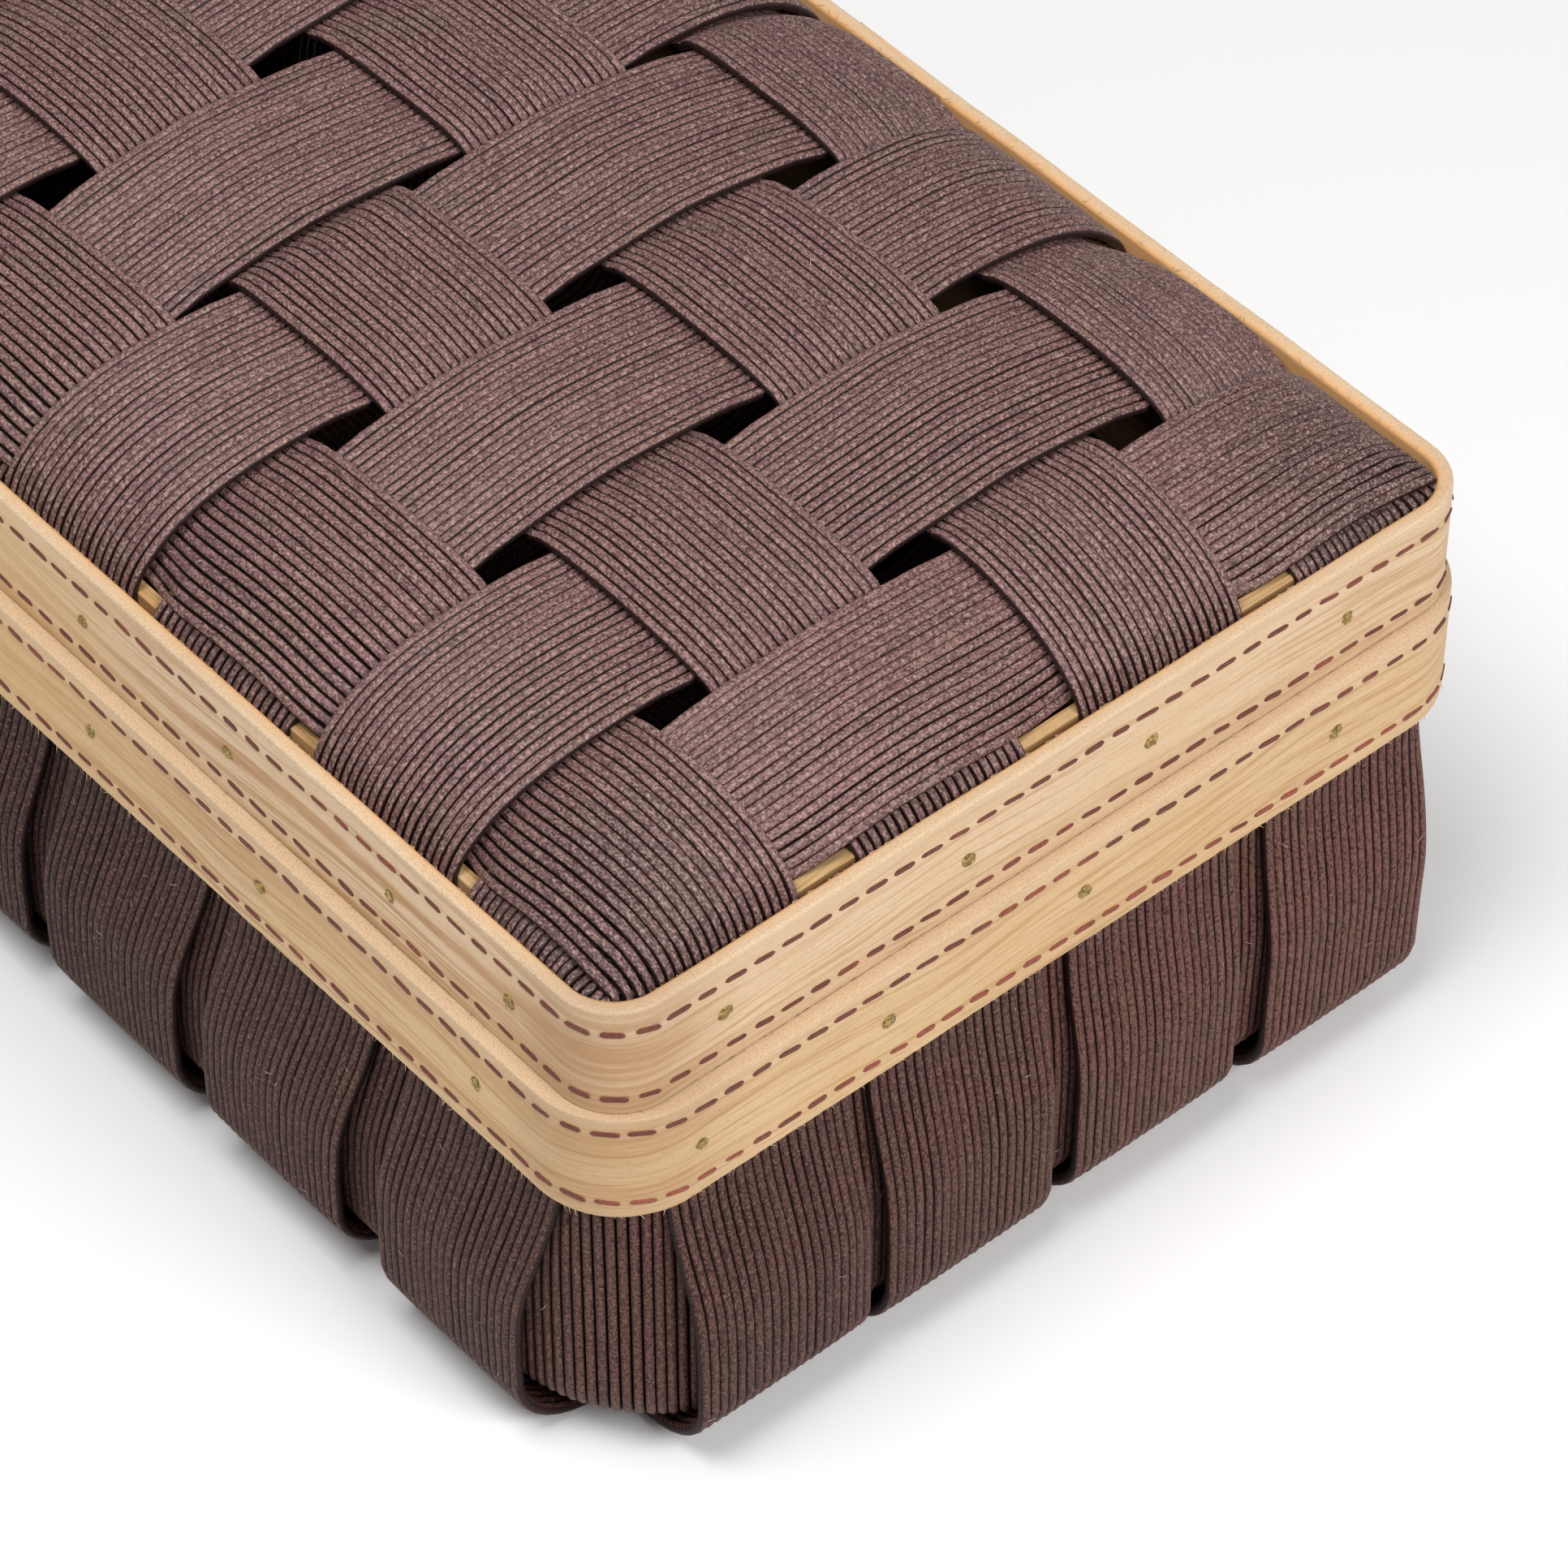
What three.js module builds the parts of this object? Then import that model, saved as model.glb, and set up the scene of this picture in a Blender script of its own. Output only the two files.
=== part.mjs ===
import * as THREE from 'three';

// Woven ribbon basket with a lift-off lid
// Millimetres, +Z up, long side along X, origin at the centre of the footprint.
// Flat ribbons of glued round cords are woven and clamped between bent veneer bands.

// Ribbon stock
const cordPitch = 1.85;
const cordsPerRibbon = 20;
const ribbonWidth = cordPitch * cordsPerRibbon;
const ribbonThickness = 1.8;

// Veneer stock
const outerVeneer = 3;
const innerVeneer = 2;
const locatingVeneer = 1.5;
const bandHeight = 24;
const rimRounding = 1.2;
const edgeRounding = 0.5;
const bandLap = 26;

// Overall sizes
const lidLength = 297;
const lidWidth = 195;
const lidCornerRadius = 12;
const rimStep = 2.8;
const baseHeight = 96.5;
const baseCornerRadius = 18;

// Lid weave
const crownHeight = 16;
const crownReach = 19;
const lidEdgeInset = 6.5;
const edgeRibbonPlan = 0.94;
const smallestCrossGap = 4.5;
const smallestLongGap = 10;
const innerBandDrop = 2.6;
const cornerPull = 1.3;
const cornerPullReach = 7;
const cornerPullRun = 12;

// Base weave
const wallCornerGap = 14;
const smallestBaseGap = 8;
const wallBulge = 3.2;
const recessDepth = 4.4;
const bulgeHeight = 35;
const footRadius = 17.6;
const tuckLength = 17;
const cornerTuckRise = 1.5;
const cornerTuckLength = 2;
const cornerWidening = 1.15;

// Locating band inside the lid
const locatingDrop = 9;
const locatingTopDrop = 3;

// Clearances
const slotClearance = 0.3;
const layerClearance = 0.35;
const weaveClearance = 0.4;
const crownClearance = 0.6;
const lidSeatGap = 0.3;
const locatingClearance = 0.3;
const crossingMargin = 0.3;
const ribbonEndGap = 0.5;
const wrapClearance = 0.65;

// Facet counts
const cornerSegments = 7;
const foldSegments = 4;
const bulgeSegments = 5;
const footSegments = 5;

// Colours
const ribbonMaterial = new THREE.MeshStandardMaterial({ color: 0x5d4743, roughness: 0.62, metalness: 0 });
const coreMaterial = new THREE.MeshStandardMaterial({ color: 0x4a3836, roughness: 0.68, metalness: 0 });
const outerWoodMaterial = new THREE.MeshStandardMaterial({ color: 0xdcbc8c, roughness: 0.55, metalness: 0 });
const innerWoodMaterial = new THREE.MeshStandardMaterial({ color: 0xc79f63, roughness: 0.6, metalness: 0 });

// Derived levels and insets, insets measured inwards from an outer face
const halfThickness = ribbonThickness / 2;
const lidHalf = { x: lidLength / 2, y: lidWidth / 2 };
const baseHalf = { x: lidHalf.x + rimStep, y: lidHalf.y + rimStep };
const slotInset = outerVeneer + slotClearance + halfThickness;
const lidInnerInset = slotInset + halfThickness + slotClearance;
const fillerInset = slotInset + ribbonThickness + layerClearance;
const baseInnerInset = fillerInset + halfThickness + slotClearance;
const baseInsideInset = baseInnerInset + innerVeneer;
const locatingInset = lidInnerInset + innerVeneer + locatingClearance;
const bandBottom = baseHeight - bandHeight;
const lidBottom = baseHeight + lidSeatGap;
const lidTop = lidBottom + bandHeight;
const innerBandTop = lidTop - innerBandDrop;
const crownStep = ribbonThickness / 2 + crownClearance / 2;
const weaveEdgeHeight = innerBandTop + wrapClearance + halfThickness + crownStep;
const weaveStep = ribbonThickness / 2 + weaveClearance / 2;
const weaveLevel = halfThickness + weaveStep;
const tuckLevel = weaveLevel + weaveStep + ribbonThickness + weaveClearance;
const wallInset = halfThickness - wallBulge;
const fillerWallInset = wallInset + recessDepth;
const footCentre = { inset: wallInset + footRadius, z: halfThickness + footRadius };

const smooth = (t) => t * t * (3 - 2 * t);
const clamp = (t, low, high) => Math.min(Math.max(t, low), high);

// A closed body between two grids of points, turned outwards
function closedSheet(top, bottom) {
  const rows = top.length;
  const columns = top[0].length;
  const points = [...top.flat(), ...bottom.flat()];
  const faces = [];
  const upper = (i, k) => i * columns + k;
  const lower = (i, k) => rows * columns + i * columns + k;
  const quad = (a, b, c, d) => faces.push([a, b, c], [a, c, d]);
  for (let i = 0; i < rows - 1; i++) {
    for (let k = 0; k < columns - 1; k++) {
      quad(upper(i, k), upper(i, k + 1), upper(i + 1, k + 1), upper(i + 1, k));
      quad(lower(i + 1, k + 1), lower(i, k + 1), lower(i, k), lower(i + 1, k));
    }
    quad(upper(i, 0), upper(i + 1, 0), lower(i + 1, 0), lower(i, 0));
    quad(lower(i, columns - 1), lower(i + 1, columns - 1), upper(i + 1, columns - 1), upper(i, columns - 1));
  }
  for (let k = 0; k < columns - 1; k++) {
    quad(upper(0, k + 1), upper(0, k), lower(0, k), lower(0, k + 1));
    quad(upper(rows - 1, k), upper(rows - 1, k + 1), lower(rows - 1, k + 1), lower(rows - 1, k));
  }
  return solid(points, faces);
}

// A closed body from section loops along a path, with flat ends
function sweptLoops(loops) {
  const size = loops[0].length;
  const faces = [];
  for (let i = 0; i < loops.length - 1; i++) {
    for (let k = 0; k < size; k++) {
      const next = (k + 1) % size;
      const [a, b] = [i * size + k, i * size + next];
      faces.push([a, b, b + size], [a, b + size, a + size]);
    }
  }
  const last = (loops.length - 1) * size;
  for (let k = 1; k < size - 1; k++) {
    faces.push([0, k + 1, k], [last, last + k, last + k + 1]);
  }
  return solid(loops.flat(), faces);
}

function solid(points, faces) {
  let volume = 0;
  for (const [a, b, c] of faces) {
    volume += points[a].dot(new THREE.Vector3().crossVectors(points[b], points[c]));
  }
  const geometry = new THREE.BufferGeometry();
  const turned = volume < 0 ? faces.map(([a, b, c]) => [a, c, b]) : faces;
  geometry.setAttribute('position', new THREE.Float32BufferAttribute(points.flatMap((p) => p.toArray()), 3));
  geometry.setIndex(turned.flat());
  geometry.computeVertexNormals();
  return geometry;
}

// Parallel ribbons laid between two faces, as [start, end] pairs with even gaps
function ribbonLayout(half, inset, edgeWidth, smallestGap) {
  const room = 2 * (half - inset) - 2 * edgeWidth;
  const inner = Math.max(Math.floor((room - smallestGap) / (ribbonWidth + smallestGap)), 0);
  const gap = (room - inner * ribbonWidth) / (inner + 1);
  const spans = [];
  let start = inset - half;
  for (let n = 0; n < inner + 2; n++) {
    const width = n === 0 || n === inner + 1 ? edgeWidth : ribbonWidth;
    spans.push([start, start + width]);
    start += width + gap;
  }
  return spans;
}

// Bent veneer bands
// The two ends of each strip are skived to half wedges that lap on the far long side.
function bandSection(inset, thickness, low, high, rounding) {
  const far = inset + thickness;
  const inside = Math.min(rounding, edgeRounding);
  return [
    [inset, low + edgeRounding],
    [inset + edgeRounding, low],
    [far - edgeRounding, low],
    [far, low + edgeRounding],
    [far, high - inside],
    [far - inside, high],
    [inset + rounding, high],
    [inset + rounding * 0.3, high - rounding * 0.3],
    [inset, high - rounding],
  ];
}

function veneerBand(half, cornerRadius, inset, thickness, low, high, rounding) {
  const section = bandSection(inset, thickness, low, high, rounding);
  const centre = { x: half.x - cornerRadius, y: half.y - cornerRadius };
  const loopAt = (cx, cy, angle, from, to) => section.map(([depth, z]) => {
    const share = (depth - inset) / thickness;
    const reach = cornerRadius - (inset + from + share * (to - from));
    return new THREE.Vector3(cx + reach * Math.cos(angle), cy + reach * Math.sin(angle), z);
  });
  const loops = [];
  const lapStart = bandLap / 2;
  const tip = slotClearance;
  loops.push(loopAt(lapStart, centre.y, Math.PI / 2, thickness - tip, thickness));
  loops.push(loopAt(-lapStart, centre.y, Math.PI / 2, 0, thickness));
  for (let corner = 1; corner <= 4; corner++) {
    const first = corner * Math.PI / 2;
    const cx = corner === 1 || corner === 2 ? -centre.x : centre.x;
    const cy = corner === 1 || corner === 4 ? centre.y : -centre.y;
    for (let n = 0; n <= cornerSegments; n++) {
      loops.push(loopAt(cx, cy, first + (n / cornerSegments) * Math.PI / 2, 0, thickness));
    }
  }
  loops.push(loopAt(lapStart + tip * 2, centre.y, Math.PI / 2, 0, thickness));
  loops.push(loopAt(lapStart + tip, centre.y, Math.PI / 2, 0, thickness - 2 * tip));
  loops.push(loopAt(tip - lapStart, centre.y, Math.PI / 2, 0, tip / 2));
  return sweptLoops(loops);
}

// Lid weave
// Both sets of ribbons follow one crowned surface, half a step above or below it.
const lidCross = ribbonLayout(lidHalf.x, lidEdgeInset, ribbonWidth * edgeRibbonPlan, smallestCrossGap);
const lidLong = ribbonLayout(lidHalf.y, lidEdgeInset, ribbonWidth * edgeRibbonPlan, smallestLongGap);
const edgeShares = [0, 0.1, 0.25, 0.45, 0.7, 1];

function crownAt(x, y) {
  const rise = (half, t) => 1 - Math.exp(-Math.max(half - Math.abs(t) - lidInnerInset, 0) / crownReach);
  return weaveEdgeHeight + crownHeight * rise(lidHalf.x, x) * rise(lidHalf.y, y);
}

// Lines across a ribbon, closer together towards the rim on the outermost ones
function ribbonLines(spans, n, margin) {
  const [start, end] = [spans[n][0] - margin, spans[n][1] + margin];
  if (n > 0 && n < spans.length - 1) return [start, (start + end) / 2, end];
  const lines = edgeShares.map((share) => start + share * (end - start));
  return n === 0 ? lines : edgeShares.map((share) => end - share * (end - start)).reverse();
}

// The lid's rounded corners push the outermost cords inwards
function pulledIn(x, y) {
  const pull = (across, along, halfAcross, halfAlong) => {
    const near = clamp(1 - (halfAcross - Math.abs(across) - lidEdgeInset) / cornerPullReach, 0, 1);
    const end = clamp(1 - (halfAlong - Math.abs(along) - lidEdgeInset) / cornerPullRun, 0, 1);
    return across - Math.sign(across) * cornerPull * near * end;
  };
  return [pull(x, y, lidHalf.x, lidHalf.y), pull(y, x, lidHalf.y, lidHalf.x)];
}

// Where the slot between the lid's two bands lies, at a distance from the corner
function slotReach(across, halfAcross, halfAlong) {
  const short = Math.max(lidCornerRadius - (halfAcross - Math.abs(across)), 0);
  const radius = lidCornerRadius - slotInset;
  return halfAlong - lidCornerRadius + Math.sqrt(Math.max(radius * radius - short * short, 0));
}

// One ribbon over the crown and down into the slot at both ends
function lidRibbon(along, across, index, acrossIndex, firstSign) {
  const [halfAlong, halfAcross] = along === 'x' ? [lidHalf.x, lidHalf.y] : [lidHalf.y, lidHalf.x];
  const crossed = along === 'x' ? lidCross : lidLong;
  const lines = ribbonLines(across, acrossIndex, 0);
  const stations = crossed.flatMap((span, n) => {
    const sign = (n + index) % 2 === 0 ? firstSign : -firstSign;
    return ribbonLines(crossed, n, crossingMargin).map((position) => ({ position, sign }));
  });
  const place = (a, b, z) => (along === 'x' ? new THREE.Vector3(a, b, z) : new THREE.Vector3(b, a, z));
  const top = [];
  const bottom = [];
  const columns = lines.map((line) => {
    const points = stations.map(({ position, sign }) => {
      const [x, y] = along === 'x' ? pulledIn(position, line) : pulledIn(line, position);
      const [a, b] = along === 'x' ? [x, y] : [y, x];
      return { a, b, z: crownAt(x, y) + sign * crownStep, lift: [0, halfThickness] };
    });
    const before = fold(points[0], points[1], slotReach(points[0].b, halfAcross, halfAlong)).reverse();
    const [last, previous] = [points[points.length - 1], points[points.length - 2]];
    const after = fold(last, previous, slotReach(last.b, halfAcross, halfAlong));
    return [...before, ...points.slice(1, -1), ...after];
  });
  for (let i = 0; i < columns[0].length; i++) {
    top.push(columns.map((c) => place(c[i].a + c[i].lift[0], c[i].b, c[i].z + c[i].lift[1])));
    bottom.push(columns.map((c) => place(c[i].a - c[i].lift[0], c[i].b, c[i].z - c[i].lift[1])));
  }
  return closedSheet(top, bottom);
}

// The bend over the inner band, from the weave's last point to the end in the slot
function fold(start, previous, reach) {
  const side = Math.sign(start.a);
  const run = reach - Math.abs(start.a);
  const slope = (previous.z - start.z) / Math.abs(start.a - previous.a);
  const lean = clamp(slope, 0, 1) * 0.6;
  const knee = { a: Math.abs(start.a) + run, z: start.z - lean * run };
  const foot = { a: knee.a, z: knee.z - run };
  const points = [];
  for (let n = 0; n <= foldSegments; n++) {
    const t = n / foldSegments;
    const [p, q, r] = [(1 - t) * (1 - t), 2 * t * (1 - t), t * t];
    const direction = new THREE.Vector2(
      (1 - t) * run,
      (1 - t) * (knee.z - start.z) + t * (foot.z - knee.z),
    ).normalize();
    points.push({
      a: side * (p * Math.abs(start.a) + q * knee.a + r * foot.a),
      b: start.b,
      z: p * start.z + q * knee.z + r * foot.z,
      lift: [side * halfThickness * -direction.y, halfThickness * direction.x],
    });
  }
  points.push({ a: side * foot.a, b: start.b, z: lidBottom + ribbonEndGap, lift: [side * halfThickness, 0] });
  return points;
}

// Base weave
const baseCross = ribbonLayout(baseHalf.x, wallCornerGap, ribbonWidth, smallestBaseGap);
const baseLong = ribbonLayout(baseHalf.y, wallCornerGap, ribbonWidth, smallestBaseGap);

// A wall in section, from its top end in the rim slot down to the foot of the bend
function wallSection(slot, wall, level) {
  const top = bandBottom - crossingMargin;
  const points = [
    { inset: slot, z: baseHeight - ribbonEndGap },
    { inset: slot, z: bandBottom },
  ];
  for (let n = 0; n <= bulgeSegments; n++) {
    const t = n / bulgeSegments;
    points.push({ inset: slot + (wall - slot) * smooth(t), z: top + (bulgeHeight - top) * t });
  }
  const reach = footCentre.inset - wall;
  const drop = footCentre.z - level;
  for (let n = 0; n <= footSegments; n++) {
    const angle = (n / footSegments) * Math.PI / 2;
    points.push({
      inset: footCentre.inset - reach * Math.cos(angle),
      z: footCentre.z - drop * Math.sin(angle),
    });
  }
  return points;
}

// A flat ribbon along a line in a vertical plane, the same thickness all the way
function pathRibbon(path, acrossLines, place) {
  const normals = path.map((point, i) => {
    const before = path[Math.max(i - 1, 0)];
    const after = path[Math.min(i + 1, path.length - 1)];
    const first = new THREE.Vector2(point.a - before.a, point.z - before.z).normalize();
    const second = new THREE.Vector2(after.a - point.a, after.z - point.z).normalize();
    if (i === 0) first.copy(second);
    if (i === path.length - 1) second.copy(first);
    const middle = first.clone().add(second).normalize();
    const reach = halfThickness / middle.dot(first);
    return { a: -middle.y * reach, z: middle.x * reach };
  });
  const side = (sign) => path.map((point, i) => acrossLines.map((line) => (
    place(point.a + sign * normals[i].a, line, point.z + sign * normals[i].z))));
  return closedSheet(side(1), side(-1));
}

// The rim's rounded corner bends the edge of the ribbon nearest to it
function cornerLines([start, end], half) {
  const straight = half - baseCornerRadius;
  const outer = Math.max(Math.abs(start), Math.abs(end));
  if (outer <= straight) return [start, end];
  const side = Math.sign(start + end);
  const lines = [outer, (outer + straight) / 2, straight, Math.min(Math.abs(start), Math.abs(end))];
  return side > 0 ? lines.reverse() : lines.map((line) => -line);
}

// How much further in the slot lies beside the rounded corner
function cornerShift(line, half, inset) {
  const short = Math.max(Math.abs(line) - (half - baseCornerRadius), 0);
  const radius = baseCornerRadius - inset;
  return radius - Math.sqrt(Math.max(radius * radius - short * short, 0));
}

// A ribbon that runs down one wall, across the bottom and up the other wall
function baseRibbon(along, span, index, firstSign) {
  const [halfAlong, halfAcross] = along === 'x' ? [baseHalf.x, baseHalf.y] : [baseHalf.y, baseHalf.x];
  const crossed = along === 'x' ? baseCross : baseLong;
  const signAt = (n) => ((n + index) % 2 === 0 ? firstSign : -firstSign);
  const levelAt = (n) => weaveLevel + signAt(n) * weaveStep;
  const wallEnd = (side, level) => wallSection(slotInset, wallInset, level).map(({ inset, z }) => (
    { a: side * (halfAlong - inset), z }));
  const bottom = crossed.flatMap(([start, end], n) => [
    { a: start - crossingMargin, z: levelAt(n) },
    { a: end + crossingMargin, z: levelAt(n) },
  ]);
  const path = [
    ...wallEnd(-1, levelAt(0)),
    ...bottom.slice(1, -1),
    ...wallEnd(1, levelAt(crossed.length - 1)).reverse(),
  ];
  const place = (a, line, z) => {
    const share = clamp((z - bulgeHeight) / (bandBottom - bulgeHeight), 0, 1);
    const shifted = a - Math.sign(a) * share * cornerShift(line, halfAcross, slotInset);
    return along === 'x' ? new THREE.Vector3(shifted, line, z) : new THREE.Vector3(line, shifted, z);
  };
  return pathRibbon(path, cornerLines(span, halfAcross), place);
}

// A short ribbon behind the gap between two wall ribbons, its foot tucked in on the bottom
function fillerRibbon(along, side, middle) {
  const halfAlong = along === 'x' ? baseHalf.x : baseHalf.y;
  const section = wallSection(fillerInset, fillerWallInset, tuckLevel);
  section.push({ inset: footCentre.inset + tuckLength, z: tuckLevel });
  const path = section.map(({ inset, z }) => ({ a: side * (halfAlong - inset), z }));
  const lines = [middle - ribbonWidth / 2, middle + ribbonWidth / 2];
  const place = (a, line, z) => (along === 'x' ? new THREE.Vector3(a, line, z) : new THREE.Vector3(line, a, z));
  return pathRibbon(path, lines, place);
}

// The ribbon that fills a corner: bent round it at the rim, nearly flat where it tucks in
function cornerRibbon(sideX, sideY) {
  const rimRadius = baseCornerRadius - fillerInset;
  const diagonalShare = 1 - Math.SQRT1_2;
  const section = wallSection(fillerInset, fillerWallInset, tuckLevel + cornerTuckRise);
  section.push({ inset: footCentre.inset + cornerTuckLength, z: tuckLevel + cornerTuckRise });
  const rimDiagonal = fillerInset + rimRadius * diagonalShare;
  const wallRadius = ribbonWidth * 2 / Math.PI * 1.1;
  const wallDiagonal = fillerWallInset + wallRadius * diagonalShare;
  const stations = section.map(({ inset, z }) => {
    const down = clamp((inset - fillerInset) / (fillerWallInset - fillerInset), 0, 1);
    const under = z < footCentre.z + 1e-6 ? clamp((inset - fillerWallInset) / footRadius, 0, 1) : 0;
    const onWall = z >= bulgeHeight - 1e-6 ? down : 1;
    return {
      diagonal: rimDiagonal + (wallDiagonal - rimDiagonal) * onWall
        + under * (footCentre.inset - fillerWallInset) * Math.SQRT1_2,
      radius: (rimRadius + (wallRadius - rimRadius) * onWall) * (1 + under * (cornerWidening - 1)),
      z,
    };
  });
  const shares = [-1, -0.75, -0.5, -0.25, 0, 0.25, 0.5, 0.75, 1];
  const flat = stations.map(({ diagonal, radius }) => shares.map((share) => {
    const length = share * ribbonWidth / 2;
    const bend = Math.min(Math.abs(length), radius * Math.PI / 4) * Math.sign(length);
    const angle = Math.PI / 4 + bend / radius;
    const rest = length - bend;
    const centre = diagonal + radius * Math.SQRT1_2;
    return new THREE.Vector2(
      centre - radius * Math.cos(angle) + rest * Math.sin(angle),
      centre - radius * Math.sin(angle) - rest * Math.cos(angle),
    );
  }));
  const face = (sign) => stations.map((station, i) => flat[i].map((point, k) => {
    const before = Math.max(i - 1, 0);
    const after = Math.min(i + 1, stations.length - 1);
    const left = flat[i][Math.max(k - 1, 0)];
    const right = flat[i][Math.min(k + 1, shares.length - 1)];
    const downwards = new THREE.Vector3(
      flat[after][k].x - flat[before][k].x,
      flat[after][k].y - flat[before][k].y,
      stations[after].z - stations[before].z,
    );
    const sideways = new THREE.Vector3(right.x - left.x, right.y - left.y, 0);
    const normal = downwards.cross(sideways).normalize().multiplyScalar(sign * halfThickness);
    return new THREE.Vector3(
      sideX * (baseHalf.x - point.x - normal.x),
      sideY * (baseHalf.y - point.y - normal.y),
      station.z + normal.z,
    );
  }));
  return closedSheet(face(1), face(-1));
}

// Assembly
const basket = new THREE.Group();
const base = new THREE.Group();
const lid = new THREE.Group();
basket.add(base, lid);

function add(group, name, geometry, material) {
  const mesh = new THREE.Mesh(geometry, material);
  mesh.name = name;
  group.add(mesh);
}

add(base, 'base_outer_band', veneerBand(baseHalf, baseCornerRadius, 0, outerVeneer,
  bandBottom, baseHeight, rimRounding), outerWoodMaterial);
add(base, 'base_inner_band', veneerBand(baseHalf, baseCornerRadius, baseInnerInset, innerVeneer,
  bandBottom, baseHeight, edgeRounding), innerWoodMaterial);
add(lid, 'lid_outer_band', veneerBand(lidHalf, lidCornerRadius, 0, outerVeneer,
  lidBottom, lidTop, rimRounding), outerWoodMaterial);
add(lid, 'lid_inner_band', veneerBand(lidHalf, lidCornerRadius, lidInnerInset, innerVeneer,
  lidBottom, innerBandTop, edgeRounding), innerWoodMaterial);
add(lid, 'lid_locating_band', veneerBand(baseHalf, baseCornerRadius, locatingInset + rimStep,
  locatingVeneer, lidBottom - locatingDrop, innerBandTop - locatingTopDrop, edgeRounding), innerWoodMaterial);

lidLong.forEach((span, n) => {
  add(lid, `lid_long_ribbon_${n + 1}`, lidRibbon('x', lidLong, n, n, 1), ribbonMaterial);
});
lidCross.forEach((span, n) => {
  add(lid, `lid_cross_ribbon_${n + 1}`, lidRibbon('y', lidCross, n, n, -1), ribbonMaterial);
});
baseLong.forEach((span, n) => {
  add(base, `base_long_ribbon_${n + 1}`, baseRibbon('x', span, n, -1), ribbonMaterial);
});
baseCross.forEach((span, n) => {
  add(base, `base_cross_ribbon_${n + 1}`, baseRibbon('y', span, n, 1), ribbonMaterial);
});

for (const [ending, side] of [['right', 1], ['left', -1]]) {
  baseLong.slice(1).forEach((span, n) => {
    const middle = (baseLong[n][1] + span[0]) / 2;
    add(base, `${ending}_wall_filler_${n + 1}`, fillerRibbon('x', side, middle), coreMaterial);
  });
}
for (const [ending, side] of [['front', -1], ['back', 1]]) {
  baseCross.slice(1).forEach((span, n) => {
    const middle = (baseCross[n][1] + span[0]) / 2;
    add(base, `${ending}_wall_filler_${n + 1}`, fillerRibbon('y', side, middle), coreMaterial);
  });
}
for (const [nameX, sideX] of [['right', 1], ['left', -1]]) {
  for (const [nameY, sideY] of [['front', -1], ['back', 1]]) {
    add(base, `${nameY}_${nameX}_corner_ribbon`, cornerRibbon(sideX, sideY), coreMaterial);
  }
}

export default basket;
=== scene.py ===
"""Woven ribbon basket with a lift-off lid, dressed for the camera.

Every ribbon is a row of round paper cords, the rims are bent veneer with two
rows of stitching and small nail heads, and the floor and lights are plain.
Sizes are in metres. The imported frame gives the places, the settings the rest.
"""

import math

import bpy
import numpy as np
from bpy.props import FloatProperty, FloatVectorProperty, IntProperty, PointerProperty
from bpy.types import NodeSocket, Operator, Panel, PropertyGroup
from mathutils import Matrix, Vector


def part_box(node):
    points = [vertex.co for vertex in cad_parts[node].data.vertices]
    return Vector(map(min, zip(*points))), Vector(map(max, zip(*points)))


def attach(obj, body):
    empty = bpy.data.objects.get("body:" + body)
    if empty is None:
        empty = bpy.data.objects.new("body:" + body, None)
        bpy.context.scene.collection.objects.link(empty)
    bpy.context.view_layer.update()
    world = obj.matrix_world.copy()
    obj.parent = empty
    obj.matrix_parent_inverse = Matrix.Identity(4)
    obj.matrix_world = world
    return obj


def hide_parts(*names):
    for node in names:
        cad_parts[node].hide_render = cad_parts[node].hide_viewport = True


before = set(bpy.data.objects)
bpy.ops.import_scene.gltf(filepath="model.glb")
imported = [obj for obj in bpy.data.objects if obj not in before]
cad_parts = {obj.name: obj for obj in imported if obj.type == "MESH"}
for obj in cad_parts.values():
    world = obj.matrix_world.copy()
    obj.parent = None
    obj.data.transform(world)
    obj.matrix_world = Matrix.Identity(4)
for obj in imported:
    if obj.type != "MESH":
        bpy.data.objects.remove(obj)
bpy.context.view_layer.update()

bl_info = {
    "name": "Woven ribbon basket",
    "version": (1, 0, 0),
    "blender": (4, 5, 0),
    "location": "View3D > Sidebar > Basket",
    "description": "Dresses a woven basket in paper cord, veneer, stitching and nails",
    "category": "Object",
}

MM = 0.001


# Settings

def length_setting(name, description, size):
    """One length, given in millimetres"""
    return FloatProperty(name=name, description=description, default=size * MM, unit="LENGTH")


def lengths_setting(name, description, *sizes):
    """Several lengths, given in millimetres"""
    return FloatVectorProperty(name=name, description=description, default=tuple(size * MM for size in sizes),
                               size=len(sizes), unit="LENGTH")


def share_setting(name, description, value):
    """A share of a whole, between 0 and 1"""
    return FloatProperty(name=name, description=description, default=value, subtype="FACTOR")


def colour_setting(name, description, *parts):
    """A colour from its red, green and blue parts"""
    return FloatVectorProperty(name=name, description=description, default=parts, size=3, subtype="COLOR")


def whole_setting(name, description, value):
    """A whole number: a count or a seed"""
    return IntProperty(name=name, description=description, default=value)


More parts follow.
